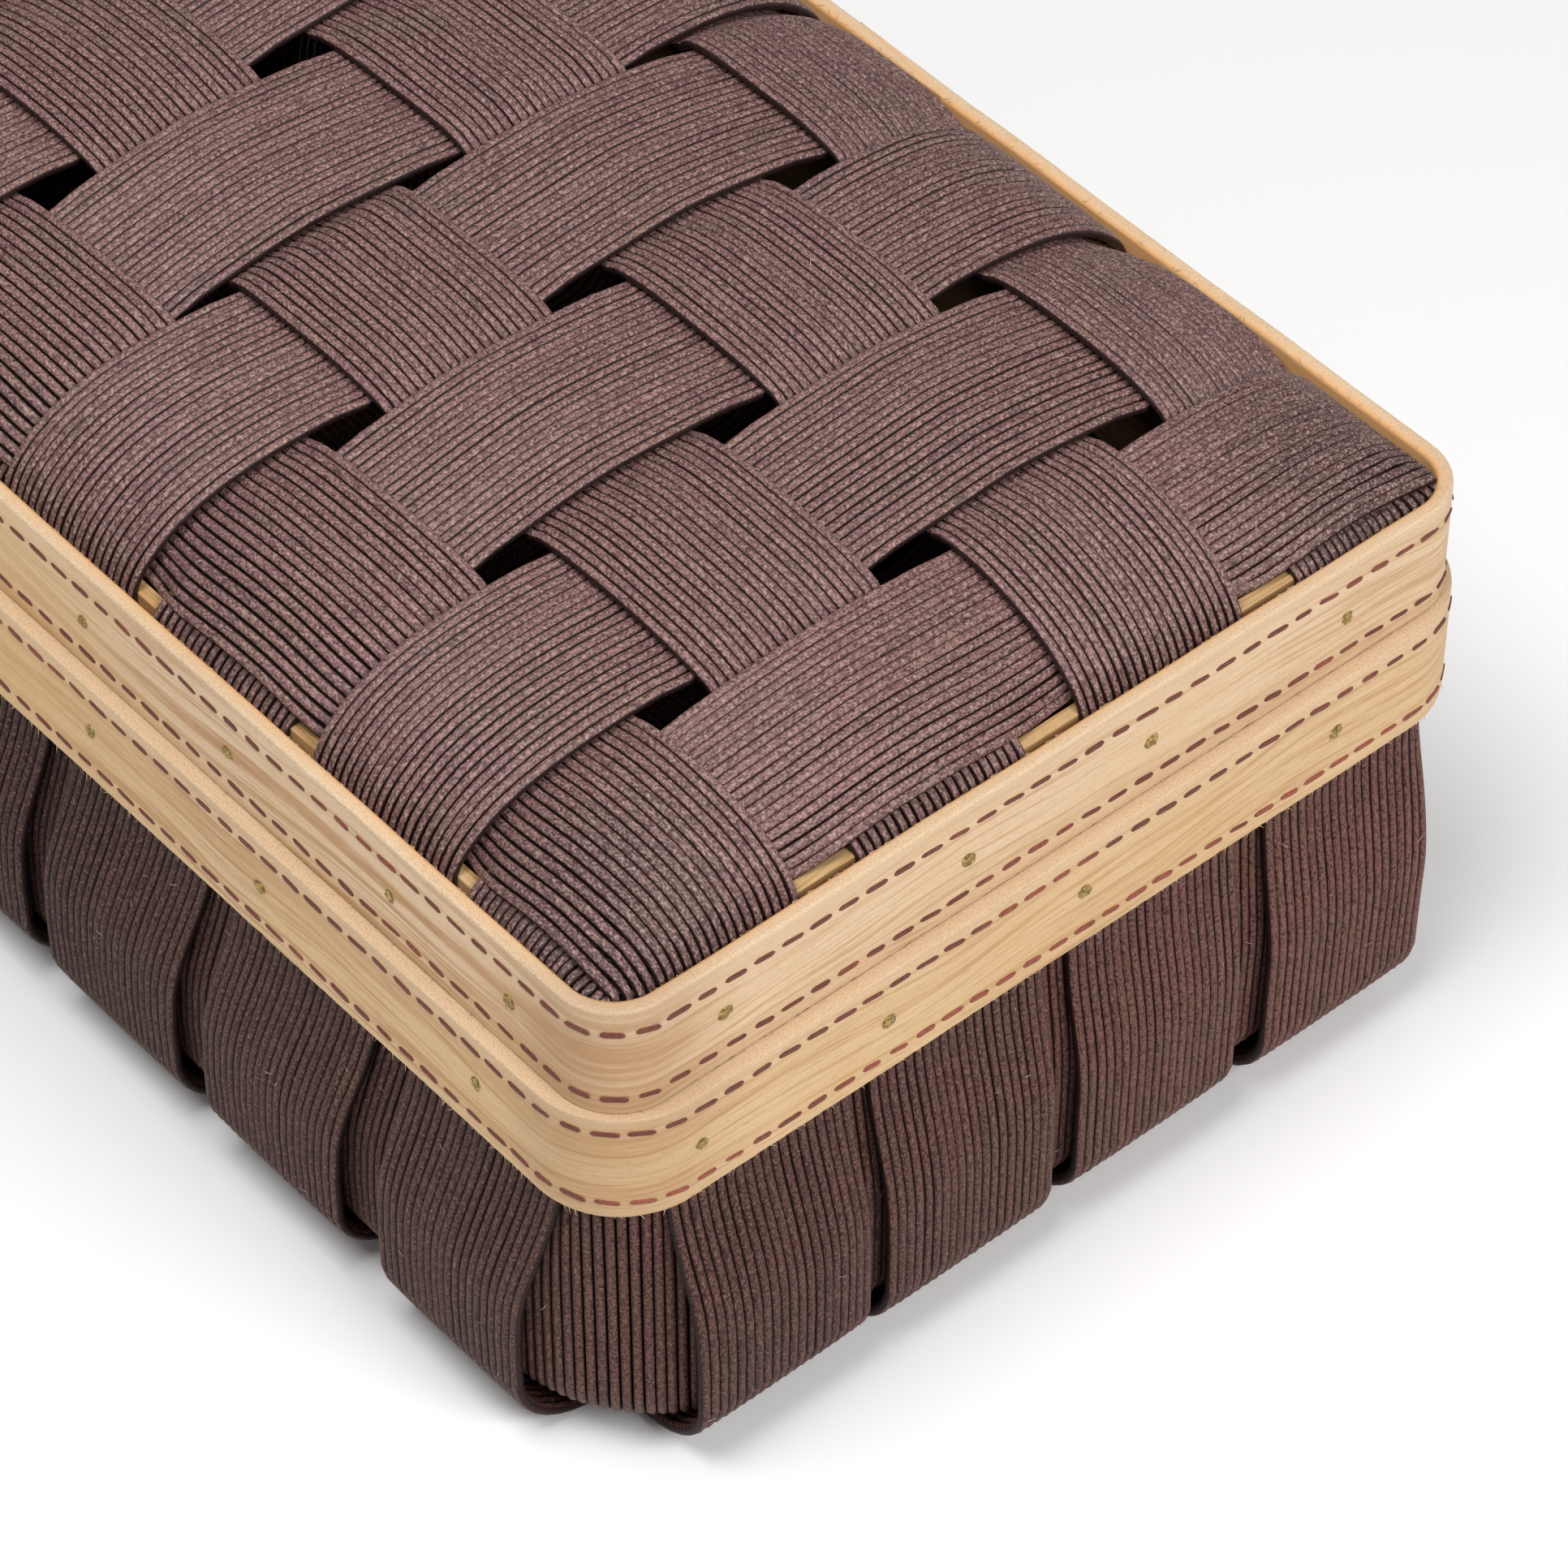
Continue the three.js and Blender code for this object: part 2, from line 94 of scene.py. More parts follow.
class CordSettings(PropertyGroup):
    lid_pitch: length_setting("Lid cord pitch", "Distance between cords on the lid", 1.85)
    wall_pitch: length_setting("Wall cord pitch", "Distance between cords on the walls", 1.96)
    per_ribbon: whole_setting("Cords in a ribbon", "Number of cords glued side by side", 20)
    fullness: share_setting("Fullness", "Cord radius as a share of the pitch", 0.535)
    squareness: FloatProperty(
        name="Squareness", description="Power of the cord's rounded section, 2 is a circle", default=2.35)
    spacing_spread: share_setting("Spacing spread", "Unevenness of the distances between cords", 0.07)
    wander: length_setting("Wander", "Most that a cord leaves its straight line", 0.10)
    # Lid and wall cord colours are lit and shaded copies of one cord: the lid's are painted brighter for
    # sheen, the walls' darker for painted shade
    crest: colour_setting("Cord colour", "Colour on top of a cord", 0.180, 0.086, 0.082)
    warm_crest: colour_setting("Brown cord colour", "Colour of the browner patches", 0.176, 0.091, 0.079)
    shaded_wall_crest: colour_setting("Wall cord colour", "Colour on top of a wall cord", 0.086, 0.034, 0.029)
    shaded_wall_warm_crest: colour_setting(
        "Brown wall cord colour", "Colour of the browner patches on the walls", 0.080, 0.036, 0.026)
    # painted shade in the grooves between two cords
    painted_groove_shade: colour_setting("Groove colour", "Colour between two cords", 0.016, 0.0045, 0.0045)


class LidWeaveSettings(PropertyGroup):
    crown_height: length_setting("Crown height", "Rise of the weave above its edge", 16)
    crown_reach: length_setting("Crown reach", "Distance in which the crown rises", 19)
    edge_rise: length_setting("Edge rise", "Height of the weave's edge above the inner veneer", 2.75)
    over_height: length_setting(
        "Over height", "Rise of a ribbon in the middle of a crossing it goes over", 2.3)
    under_depth: length_setting(
        "Under depth", "Drop of a ribbon in the middle of a crossing it goes under", 1.7)
    edge_insets: lengths_setting(
        "Edge insets", "Outermost cords' distance from the lid's short and long faces", 7.3, 6.9)
    crossing_lift: length_setting(
        "Crossing lift", "Height over or under the crown at a crossing's border", 0.80)
    gap_dips: lengths_setting(
        "Gap dips", "Drop of the outermost cord in a gap by the short and long faces", 1.5, 0.9)
    gap_pushes: lengths_setting(
        "Gap pushes", "How far it moves towards the short and long faces there", 0.9, 0.8)
    gap_blend: length_setting("Gap blend", "Distance beside a gap in which the outermost cord drops", 15)
    rim_sink: length_setting("Rim sink", "How far the weave drops beside the inner veneer", 1.25)
    over_bend_start: length_setting(
        "Upper bend start", "Inset at which an upper ribbon bends into the rim", 8.2)
    under_bend_start: length_setting(
        "Lower bend start", "Inset at which a lower ribbon bends into the rim", 6.4)
    corner_stretch: length_setting("Corner stretch", "How far the outer cords reach into a corner", 2.0)
    cross_shift: lengths_setting(
        "Cross ribbon shifts", "Hand-laid shift of each cross ribbon, left to right",
        0.6, 3.4, 5.2, 3.0, 3.4, 3.9, 1.6)
    cross_rim_shift: lengths_setting(
        "Cross ribbons at the front", "Further shift of each cross ribbon's front end",
        0.0, -1.0, -1.6, -2.9, -3.2, -1.8, -2.8)
    long_rim_shift: lengths_setting(
        "Long ribbons at the right", "Further shift of each long ribbon's right end", 2.6, 3.2, 0.6, 0.0)
    long_shift: lengths_setting(
        "Long ribbon shifts", "Hand-laid shift of each long ribbon, front to back", 0.3, -0.4, 1.3, 0.9)


class WallSettings(PropertyGroup):
    bulge: length_setting("Bulge", "How far the walls' outer face stands proud of the rim", 3.2)
    bulge_level: length_setting("Bulge level", "Height at which the walls are widest", 35)
    foot_radius: length_setting("Foot radius", "Bend of the ribbons under the bottom", 17.6)
    recess: length_setting("Recess", "Depth of the fillers behind the wall ribbons", 4.4)
    tuck: length_setting("Tuck", "Length of a filler's foot on the bottom", 17)
    front_top_shift: lengths_setting(
        "Long side rim shifts", "Shift of the cross ribbons at the rim, left to right",
        -1.5, -2.0, -2.6, -3.4, -3.9, -2.7)
    front_foot_shift: lengths_setting(
        "Long side foot shifts", "Shift of the cross ribbons at the foot, left to right",
        -2.0, -5.5, -8.5, -11.0, -11.6, -9.5)
    side_top_shift: lengths_setting(
        "Short side rim shifts", "Shift of the long ribbons at the rim, front to back", 2.5, 1.1, 1.3, 2.5)
    side_foot_shift: lengths_setting(
        "Short side foot shifts", "Shift of the long ribbons at the foot, front to back",
        4.0, 0.9, -0.6, -0.2)


class VeneerSettings(PropertyGroup):
    inner_rise: length_setting(
        "Inner rise", "How far the lid's inner band comes up between the ribbons", 0.3)
    inner_swell: length_setting(
        "Inner swell", "How much thicker the lid's inner band is than its drawing", 0.6)
    rest_gap: length_setting("Rest gap", "Space left between the lid's band and the base's rim", 0.06)
    fray: length_setting("Fray", "Raggedness of the bands' lower edges", 0.14)
    outer_thickness: length_setting("Outer veneer", "Thickness of the outer bands", 3)
    inner_thickness: length_setting("Inner veneer", "Thickness of the inner bands", 2)
    locating_thickness: length_setting("Locating veneer", "Thickness of the band that centres the lid", 1.5)
    lid_corner: length_setting("Lid corner radius", "Outer radius of the lid's corners", 12)
    base_corner: length_setting("Base corner radius", "Outer radius of the base's corners", 18)
    lap: length_setting("Lap", "Length of the skived joint at the back", 26)
    rim_rounding: length_setting("Rim rounding", "Rounding of the outer bands' top edge", 0.55)
    waviness: length_setting("Waviness", "Unevenness of a band's face and edges", 0.22)
    lid_colour: colour_setting("Lid veneer colour", "Palest wood of the lid's band", 0.775, 0.56, 0.355)
    base_colour: colour_setting("Base veneer colour", "Palest wood of the base's band", 0.74, 0.508, 0.280)
    rim_colour: colour_setting("Rim colour", "Pale cut edge along the top of a band", 0.76, 0.58, 0.40)
    inside_colour: colour_setting(
        "Inside colour", "Orange-brown wood of a band's inner face", 0.78, 0.42, 0.17)
    # Painted shade: the right short side and the near right corner are painted darker
    right_painted_shade: share_setting(
        "Right shade", "Share of darker, handled wood on the right short side", 0.14)
    corner_painted_shade: share_setting("Corner shade", "Further share of it round the near right corner", 0.26)
    streak_colour: colour_setting("Streak colour", "Darker wood of the flowing streaks", 0.47, 0.225, 0.080)
    inner_colour: colour_setting("Inner veneer colour", "Yellow wood of the inner bands", 0.62, 0.41, 0.20)


class StitchSettings(PropertyGroup):
    pitch: length_setting("Stitch pitch", "Distance from stitch to stitch", 6)
    length: length_setting("Stitch length", "Length of the thread that shows", 4.5)
    width: length_setting("Thread width", "Width of the thread", 1.24)
    lid_levels: lengths_setting("Lid rows", "Heights of the two rows above the lid's lower edge", 3.4, 18.9)
    base_levels: lengths_setting(
        "Base rows", "Heights of the two rows above the base band's lower edge", 3.7, 20.7)
    colour: colour_setting("Thread colour", "Colour of the stitching", 0.148, 0.033, 0.017)
    seed: whole_setting("Stitch seed", "Seed of the unevenness", 11)


class NailSettings(PropertyGroup):
    diameter: length_setting("Head diameter", "Width of a nail head", 3.0)
    height: length_setting("Head height", "How far a head stands proud", 0.42)
    colour: colour_setting("Nail colour", "Dull brass of the heads", 0.50, 0.325, 0.085)
    seed: whole_setting("Nail seed", "Seed of the turns and dents", 5)


class FibreSettings(PropertyGroup):
    lid_share: share_setting(
        "Lid share", "Share of the marked places on the lid that carry a loose fibre", 0.10)
    base_share: share_setting(
        "Base share", "Share of the marked places on the base that carry a loose fibre", 0.24)
    hair_length: length_setting("Hair length", "Usual length of a loose fibre", 1.1)
    hair_width: length_setting("Hair width", "Thickness of a loose fibre", 0.085)
    splinter_spacing: length_setting(
        "Splinter spacing", "Distance between the places that may carry a splinter", 1.1)
    splinter_share: share_setting("Splinter share", "Share of those places that carry a splinter", 0.33)
    splinter_length: length_setting("Splinter length", "Usual length of a splinter", 0.9)
    splinter_width: length_setting("Splinter width", "Thickness of a splinter at its root", 0.16)
    seed: whole_setting("Fibre seed", "Seed of the loose fibres", 23)


class StageSettings(PropertyGroup):
    aim: FloatVectorProperty(
        name="Aim", description="Point in the middle of the picture",
        default=(0.13066, -0.04489, 0.12858), size=3, subtype="TRANSLATION", unit="LENGTH")
    azimuth: FloatProperty(
        name="Azimuth", description="Camera's turn round the basket",
        default=math.radians(49.299), subtype="ANGLE", unit="ROTATION")
    elevation: FloatProperty(
        name="Elevation", description="Camera's angle above the floor",
        default=math.radians(46.242), subtype="ANGLE", unit="ROTATION")
    distance: FloatProperty(
        name="Distance", description="Camera's distance from the aim", default=1.050, unit="LENGTH")
    focal_length: FloatProperty(
        name="Focal length", description="Lens, on a 36 mm sensor", default=149.03)
    floor_colour: colour_setting("Floor colour", "Plain pale floor", 0.96, 0.96, 0.96)
    front_power: FloatProperty(
        name="Front light", description="Power of the large soft light over the front",
        default=17.4, unit="POWER")
    right_power: FloatProperty(
        name="Right light", description="Power of the large soft light to the right",
        default=16.9, unit="POWER")
    surroundings: FloatProperty(
        name="Surroundings", description="Brightness of the white room", default=0.25)


SETTINGS = (
    ("basket_cords", CordSettings),
    ("basket_lid", LidWeaveSettings),
    ("basket_walls", WallSettings),
    ("basket_veneer", VeneerSettings),
    ("basket_stitches", StitchSettings),
    ("basket_nails", NailSettings),
    ("basket_fibres", FibreSettings),
    ("basket_stage", StageSettings),
)


# Places read from the frame

def ring(node):
    """Half length, half width, lowest and highest level of a band"""
    low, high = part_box(node)
    return high.x, high.y, low.z, high.z


LID_X, LID_Y, LID_LOW, LID_TOP = ring("lid_outer_band")
BASE_X, BASE_Y, BAND_LOW, BASE_TOP = ring("base_outer_band")
LID_INNER = LID_X - ring("lid_inner_band")[0]
INNER_TOP = ring("lid_inner_band")[3]
BASE_INNER = BASE_X - ring("base_inner_band")[0]
LID_LONG = 4
LID_CROSS = 7
BASE_LONG = 4
BASE_CROSS = 6


def middle(node, axis):
    """Middle of a node along one axis"""
    low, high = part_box(node)
    return (low[axis] + high[axis]) / 2


def outline(body):
    """Half length, half width and corner radius of the lid's or the base's outer band"""
    veneer = bpy.context.scene.basket_veneer
    if body == "lid":
        return LID_X, LID_Y, veneer.lid_corner
    return BASE_X, BASE_Y, veneer.base_corner


def smooth(share):
    """An even start and end between 0 and 1"""
    share = np.clip(share, 0, 1)
    return share * share * (3 - 2 * share)


def mix(first, second, share):
    """The value at a share of the way from the first to the second"""
    return first + (second - first) * share


# Node helpers

class NodeMaker:
    """Adds nodes to a tree and joins them; an input takes a value or a socket"""

    def __init__(self, tree):
        self.tree = tree

    def add(self, kind, inputs=None, **options):
        made = self.tree.nodes.new(kind)
        for name, value in options.items():
            setattr(made, name, value)
        self.fill(made, inputs or {})
        return made

    def out(self, kind, inputs=None, **options):
        """Adds a node and gives its first output"""
        return self.add(kind, inputs, **options).outputs[0]

    def fill(self, node, inputs):
        """Sets or joins inputs; None leaves one as it is"""
        for key, value in inputs.items():
            if value is None:
                continue
            socket = node.inputs[key]
            if isinstance(value, NodeSocket):
                self.tree.links.new(value, socket)
            else:
                socket.default_value = (*value, 1.0) if socket.type == "RGBA" else value

    def math(self, operation, *values):
        return self.out("ShaderNodeMath", dict(enumerate(values)), operation=operation)

    def times(self, first, *others):
        """The product of all the values"""
        for other in others:
            first = self.math("MULTIPLY", first, other)
        return first

    def plus(self, first, second):
        return self.math("ADD", first, second)

    def line(self, value, slope, start=1.0):
        """A value times a slope, added to a start"""
        return self.math("MULTIPLY_ADD", value, slope, start)

    def vector(self, operation, first, second=None, scale=None):
        made = self.add("ShaderNodeVectorMath", {0: first, 1: second, "Scale": scale}, operation=operation)
        return made.outputs["Value" if operation in ("DOT_PRODUCT", "LENGTH") else "Vector"]

    def split(self, vector):
        """The x, y and z of a vector"""
        return self.add("ShaderNodeSeparateXYZ", {0: vector}).outputs

    def join(self, x=None, y=None, z=None):
        """A vector from its parts; one left out is 0"""
        return self.out("ShaderNodeCombineXYZ", {0: x, 1: y, 2: z})

    def spread(self, value, low, high, to_low=0.0, to_high=1.0):
        """Maps a value between two limits, smoothly"""
        return self.add("ShaderNodeMapRange", {
            "Value": value, "From Min": low, "From Max": high, "To Min": to_low, "To Max": to_high},
            interpolation_type="SMOOTHSTEP").outputs["Result"]

    def blend(self, share, first, second, way="MIX"):
        made = self.add("ShaderNodeMix", {0: share, 6: first, 7: second},
                        data_type="RGBA", blend_type=way, clamp_factor=True)
        return made.outputs[2]

    def noise(self, place, scale, detail=2.0, roughness=0.5):
        """Noise between 0 and 1; three scales stretch it along the axes"""
        if isinstance(scale, tuple):
            place, scale = self.vector("MULTIPLY", place, scale), 1.0
        made = self.add("ShaderNodeTexNoise", {
            "Vector": place, "Scale": scale, "Detail": detail, "Roughness": roughness})
        return made.outputs["Factor" if "Factor" in made.outputs else "Fac"]

    def bump(self, height, strength, depth):
        """Relief of a surface; the depth is in millimetres"""
        return self.out("ShaderNodeBump", {"Strength": strength, "Distance": depth * MM, "Height": height})

    def object_place(self):
        return self.add("ShaderNodeTexCoord").outputs["Object"]

    def attribute(self, name):
        """A number stored on the mesh, for a material"""
        return self.add("ShaderNodeAttribute", attribute_name=name).outputs["Fac"]

    def named(self, name, kind="FLOAT"):
        """A value stored on the mesh, for a geometry tree"""
        return self.out("GeometryNodeInputNamedAttribute", {"Name": name}, data_type=kind)

    def outward(self):
        return self.named("outward", "FLOAT_VECTOR")

    def chance(self, seed, low, high, extra):
        """A random number for each point; the extra keeps draws with one seed apart"""
        return self.add("FunctionNodeRandomValue", {2: low, 3: high, "Seed": self.plus(seed, extra)},
                        data_type="FLOAT").outputs[1]

    def chosen(self, share, seed):
        """True for the given share of the points"""
        return self.add("FunctionNodeRandomValue", {"Probability": share, "Seed": seed},
                        data_type="BOOLEAN").outputs[3]

    def turned(self, rotation, x=None, y=None, z=None):
        """A rotation, then small turns about its own axes"""
        turn = self.out("FunctionNodeEulerToRotation", {"Euler": self.join(x, y, z)})
        return self.out("FunctionNodeRotateRotation", {"Rotation": rotation, "Rotate By": turn},
                        rotation_space="LOCAL")

    def resampled(self, curve, **rule):
        """A curve cut into even parts, by Length or by Count"""
        return self.out("GeometryNodeResampleCurve", {"Curve": curve, **rule}, mode=next(iter(rule)).upper())

    def tube(self, curve, profile, scale):
        """A profile run along a curve, with closed ends"""
        return self.out("GeometryNodeCurveToMesh", {
            "Curve": curve, "Profile Curve": profile, "Scale": scale, "Fill Caps": True})

    def moved(self, geometry, **change):
        """Geometry with a new Position or an Offset for each point"""
        return self.out("GeometryNodeSetPosition", {"Geometry": geometry, **change})


def tinted(base, *factors):
    """A colour times one factor, or times one for each of its parts"""
    factors = factors if len(factors) == 3 else factors * 3
    return tuple(min(1.0, part * factor) for part, factor in zip(base, factors))


def new_material(name):
    """A material with one shader joined to its output"""
    material = bpy.data.materials.new(name)
    material.use_nodes = True
    tree = material.node_tree
    tree.nodes.clear()
    maker = NodeMaker(tree)
    shader = maker.add("ShaderNodeBsdfPrincipled")
    maker.add("ShaderNodeOutputMaterial", {"Surface": shader.outputs["BSDF"]})
    return material, maker, shader


def new_tree(name, sockets):
    """An empty geometry tree with a mesh in, named inputs and a mesh out"""
    tree = bpy.data.node_groups.new(name, "GeometryNodeTree")
    tree.is_modifier = True
    for label, kind in (("Geometry", "Geometry"), *sockets):
        tree.interface.new_socket(label, in_out="INPUT", socket_type="NodeSocket" + kind)
    tree.interface.new_socket("Geometry", in_out="OUTPUT", socket_type="NodeSocketGeometry")
    maker = NodeMaker(tree)
    return tree, maker, maker.add("NodeGroupInput").outputs


def close_tree(maker, geometry, material):
    """Ends a tree: smooth faces, real geometry, one material"""
    soft = maker.out("GeometryNodeSetShadeSmooth", {"Geometry": geometry})
    real = maker.out("GeometryNodeRealizeInstances", {"Geometry": soft})
    dressed = maker.out("GeometryNodeSetMaterial", {"Geometry": real, "Material": material})
    maker.add("NodeGroupOutput", {"Geometry": dressed})


# Mesh and pieces

def store(mesh, name, values):
    """Saves one number, or one vector, for each point of a mesh"""
    values = np.asarray(values, np.float32)
    kind, key = ("FLOAT", "value") if values.ndim == 1 else ("FLOAT_VECTOR", "vector")
    mesh.attributes.new(name, kind, "POINT").data.foreach_set(key, values.reshape(-1))


def marked_mesh(name, places, outs, edges=()):
    """Points, joined by edges if there are any, each with an outward direction"""
    mesh = bpy.data.meshes.new(name)
    mesh.from_pydata(np.asarray(places).tolist(), edges, [])
    store(mesh, "outward", outs)
    return mesh


def path_mesh(name, lines):
    """Closed polylines with an outward direction at each point"""
    edges, first = [], 0
    for points, _ in lines:
        edges.extend((first + n, first + (n + 1) % len(points)) for n in range(len(points)))
        first += len(points)
    places, outs = (np.vstack(parts) for parts in zip(*lines))
    return marked_mesh(name, places, outs, edges)


def put(name, data):
    """A new object in the scene"""
    piece = bpy.data.objects.new(name, data)
    bpy.context.scene.collection.objects.link(piece)
    return piece


def grow(name, mesh, tree, values):
    """Runs a tree on a mesh and keeps the result as one plain mesh object"""
    piece = put(name, mesh)
    modifier = piece.modifiers.new(tree.name, "NODES")
    modifier.node_group = tree
    for item in tree.interface.items_tree:
        if item.item_type == "SOCKET" and item.in_out == "INPUT" and item.name in values:
            modifier[item.identifier] = values[item.name]
    graph = bpy.context.evaluated_depsgraph_get()
    plain = bpy.data.meshes.new_from_object(piece.evaluated_get(graph), preserve_all_data_layers=True,
                                            depsgraph=graph)
    piece.modifiers.clear()
    piece.data = plain
    plain.name = name
    bpy.data.meshes.remove(mesh)
    if len(plain.polygons) == 0:
        raise RuntimeError(f"{name} came out empty")
    return piece


def finish_piece(piece, body, replaced=()):
    """Says which body a piece rides on and hides the parts that it stands for"""
    if replaced:
        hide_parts(*replaced)
    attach(piece, body)


# Strands

FIBRE_SPACING = 1.2 * MM
FIBRE_FLOOR = 4 * MM
FIBRE_PLACES = {"lid": [], "base": []}


def strand_mesh(name, points, outward, **marks):
    """Polylines for the cord tree: points is cords x stations x 3"""
    cords, stations = points.shape[:2]
    mesh = bpy.data.meshes.new(name)
    index = np.arange(cords * stations).reshape(cords, stations)
    edges = np.stack([index[:, :-1].ravel(), index[:, 1:].ravel()], 1)
    mesh.vertices.add(cords * stations)
    mesh.vertices.foreach_set("co", points.reshape(-1).astype(np.float32))
    mesh.edges.add(len(edges))
    mesh.edges.foreach_set("vertices", edges.reshape(-1).astype(np.int32))
    steps = np.linalg.norm(np.diff(points, axis=1), axis=2)
    marks["along"] = np.concatenate([np.zeros((cords, 1)), np.cumsum(steps, axis=1)], 1)
    for label, values in marks.items():
        store(mesh, label, np.broadcast_to(values, (cords, stations)).reshape(-1))
    store(mesh, "outward", outward.reshape(-1, 3))
    mesh.update()
    return mesh


def outward_normals(points, facing):
    """Normals of the sheet that the cords form, turned to the given side at its middle"""
    normal = np.cross(np.gradient(points, axis=1), np.gradient(points, axis=0))
    normal /= np.linalg.norm(normal, axis=2, keepdims=True) + 1e-12
    centre = normal[points.shape[0] // 2, points.shape[1] // 2]
    return normal if np.dot(centre, facing) > 0 else -normal


def cord_tree():
    """Strands: every polyline becomes one cord with a rounded square section"""
    tree, maker, given = new_tree("cord strands", (
        ("Squareness", "Float"), ("Sides", "Int"), ("Cord material", "Material")))
    curve = maker.out("GeometryNodeMeshToCurve", {"Mesh": given["Geometry"]})
    curve = maker.out("GeometryNodeSetCurveNormal", {"Curve": curve, "Normal": maker.outward()}, mode="FREE")
    profile = maker.out("GeometryNodeCurvePrimitiveCircle", {"Resolution": given["Sides"], "Radius": 1.0})
    place = maker.out("GeometryNodeInputPosition")
    power = given["Squareness"]
    x, y, _ = (maker.math("POWER", maker.math("ABSOLUTE", part), power) for part in maker.split(place))
    size = maker.math("POWER", maker.plus(x, y), maker.math("DIVIDE", -1.0, power))
    profile = maker.moved(profile, Position=maker.vector("SCALE", place, scale=size))
    crest, flank, _ = maker.split(maker.out("GeometryNodeInputPosition"))
    for label, value in (("crest", crest), ("flank", flank)):
        profile = maker.out("GeometryNodeStoreNamedAttribute", {
            "Geometry": profile, "Name": label, "Value": value}, data_type="FLOAT", domain="POINT")
    close_tree(maker, maker.tube(curve, profile, maker.named("girth")), given["Cord material"])
    return tree


class Strands:
    """Shared numbers and random streams for all the ribbons"""

    def __init__(self, settings):
        self.settings = settings
        self.tree = cord_tree()

    def spacing(self, source):
        """Places of the cords across a ribbon, between 0 and 1, a little uneven"""
        steps = 1 + source.uniform(-1, 1, self.settings.per_ribbon) * self.settings.spacing_spread
        edges = np.concatenate([[0], np.cumsum(steps)])
        return ((edges[:-1] + edges[1:]) / 2 / edges[-1])[:, None]

    def wander(self, source, along):
        """A slow wave for each cord, the same way for neighbours"""
        count = self.settings.per_ribbon
        total = np.zeros_like(along)
        for reach, share in ((0.075, 0.7), (0.028, 0.3)):
            phase = np.cumsum(source.uniform(-0.9, 0.9, count))[:, None] + source.uniform(0, 6)
            total = total + share * np.sin(along / reach * 2 * np.pi + phase)
        return total * self.settings.wander

    def mark_fibres(self, body, points, outward, radius, source):
        """Places on the cords' crests where a loose fibre may stand"""
        cords, stations = points.shape[:2]
        steps = np.linalg.norm(np.diff(points[cords // 2], axis=0), axis=1)
        reach = np.concatenate([[0], np.cumsum(steps)])
        count = int(reach[-1] / FIBRE_SPACING)
        row = source.integers(0, cords, count)
        place = np.interp(source.uniform(0, reach[-1], count), reach, np.arange(stations))
        column = np.minimum(place.astype(int), stations - 2)
        share = (place - column)[:, None]
        spot = mix(points[row, column], points[row, column + 1], share)
        normal = mix(outward[row, column], outward[row, column + 1], share)
        clear = spot[:, 2] > FIBRE_FLOOR
        FIBRE_PLACES[body].append(np.hstack([spot + normal * radius * 0.95, normal])[clear])

    def make(self, node, points, facing, pitch, source, material, body, slot, sides=8, slim_ends=0):
        """Turns the cords' lines into the piece that stands for a node"""
        outward = outward_normals(points, facing)
        spread = 1 + source.uniform(-0.03, 0.03, self.settings.per_ribbon)[:, None]
        girth = pitch * self.settings.fullness * spread
        # painted shade on the tightly bent ends of the cords, which also widens their painted groove shade
        dusk = np.zeros((1, points.shape[1]))
        if slim_ends:
            stations = np.arange(points.shape[1])
            from_end = np.minimum(stations, stations[::-1]) - slim_ends
            girth = girth * (1 - 0.13 * np.clip(1 - from_end / 2, 0, 1))[None, :]
            dusk = np.clip(1 - (from_end + 1) / 4, 0, 1)[None, :]
        self.mark_fibres(body, points, outward, float(girth.mean()), source)
        tone = source.uniform(0, 1, self.settings.per_ribbon)[:, None]
        mesh = strand_mesh(node + "_lines", points, outward, tone=tone, girth=girth, dusk=dusk)
        piece = grow(node.replace("ribbon", "cords").replace("filler", "filler_cords"), mesh, self.tree, {
            "Squareness": self.settings.squareness, "Sides": sides, "Cord material": material})
        finish_piece(piece, body, (node,))


# Lid weave

# Stations of a cord within one crossing, and round its bend into the rim
CROSSING_STOPS = np.array([0, 0.05, 0.12, 0.22, 0.35, 0.5, 0.65, 0.78, 0.88, 0.95, 1.0])
BEND_STOPS = (0.16, 0.33, 0.5, 0.67, 0.84, 1.0)
STEEPEST_END = math.radians(50)
SHORTEST_BEND = 0.6 * MM
SLOT_FOOT = 0.6 * MM
# Share of a cord's radius by which its middle lies over the inner band, and the fall behind the band
REST_SHARE = 0.75
REST_FALL = 3
# Distances in which the weave drops beside the inner band, and the outer cords reach into a corner
SINK_REACH = 6 * MM
CORNER_SIDE_REACH, CORNER_END_REACH = 9 * MM, 22 * MM
# Share of half a crossing at which a ribbon's last crossing would come down to the crown
LAST_REACH = 1.16
# A gap wider than this gets more stations
WIDE_GAP = 8 * MM
# Where the ribbons' front and right ends begin to shift, and the distance that takes
SHIFT_START, SHIFT_REACH = 55 * MM, 48 * MM
# Change of the edge cords' height on a ribbon that goes over and on one that goes under
OVER_EDGE, UNDER_EDGE = -0.20, 0.75


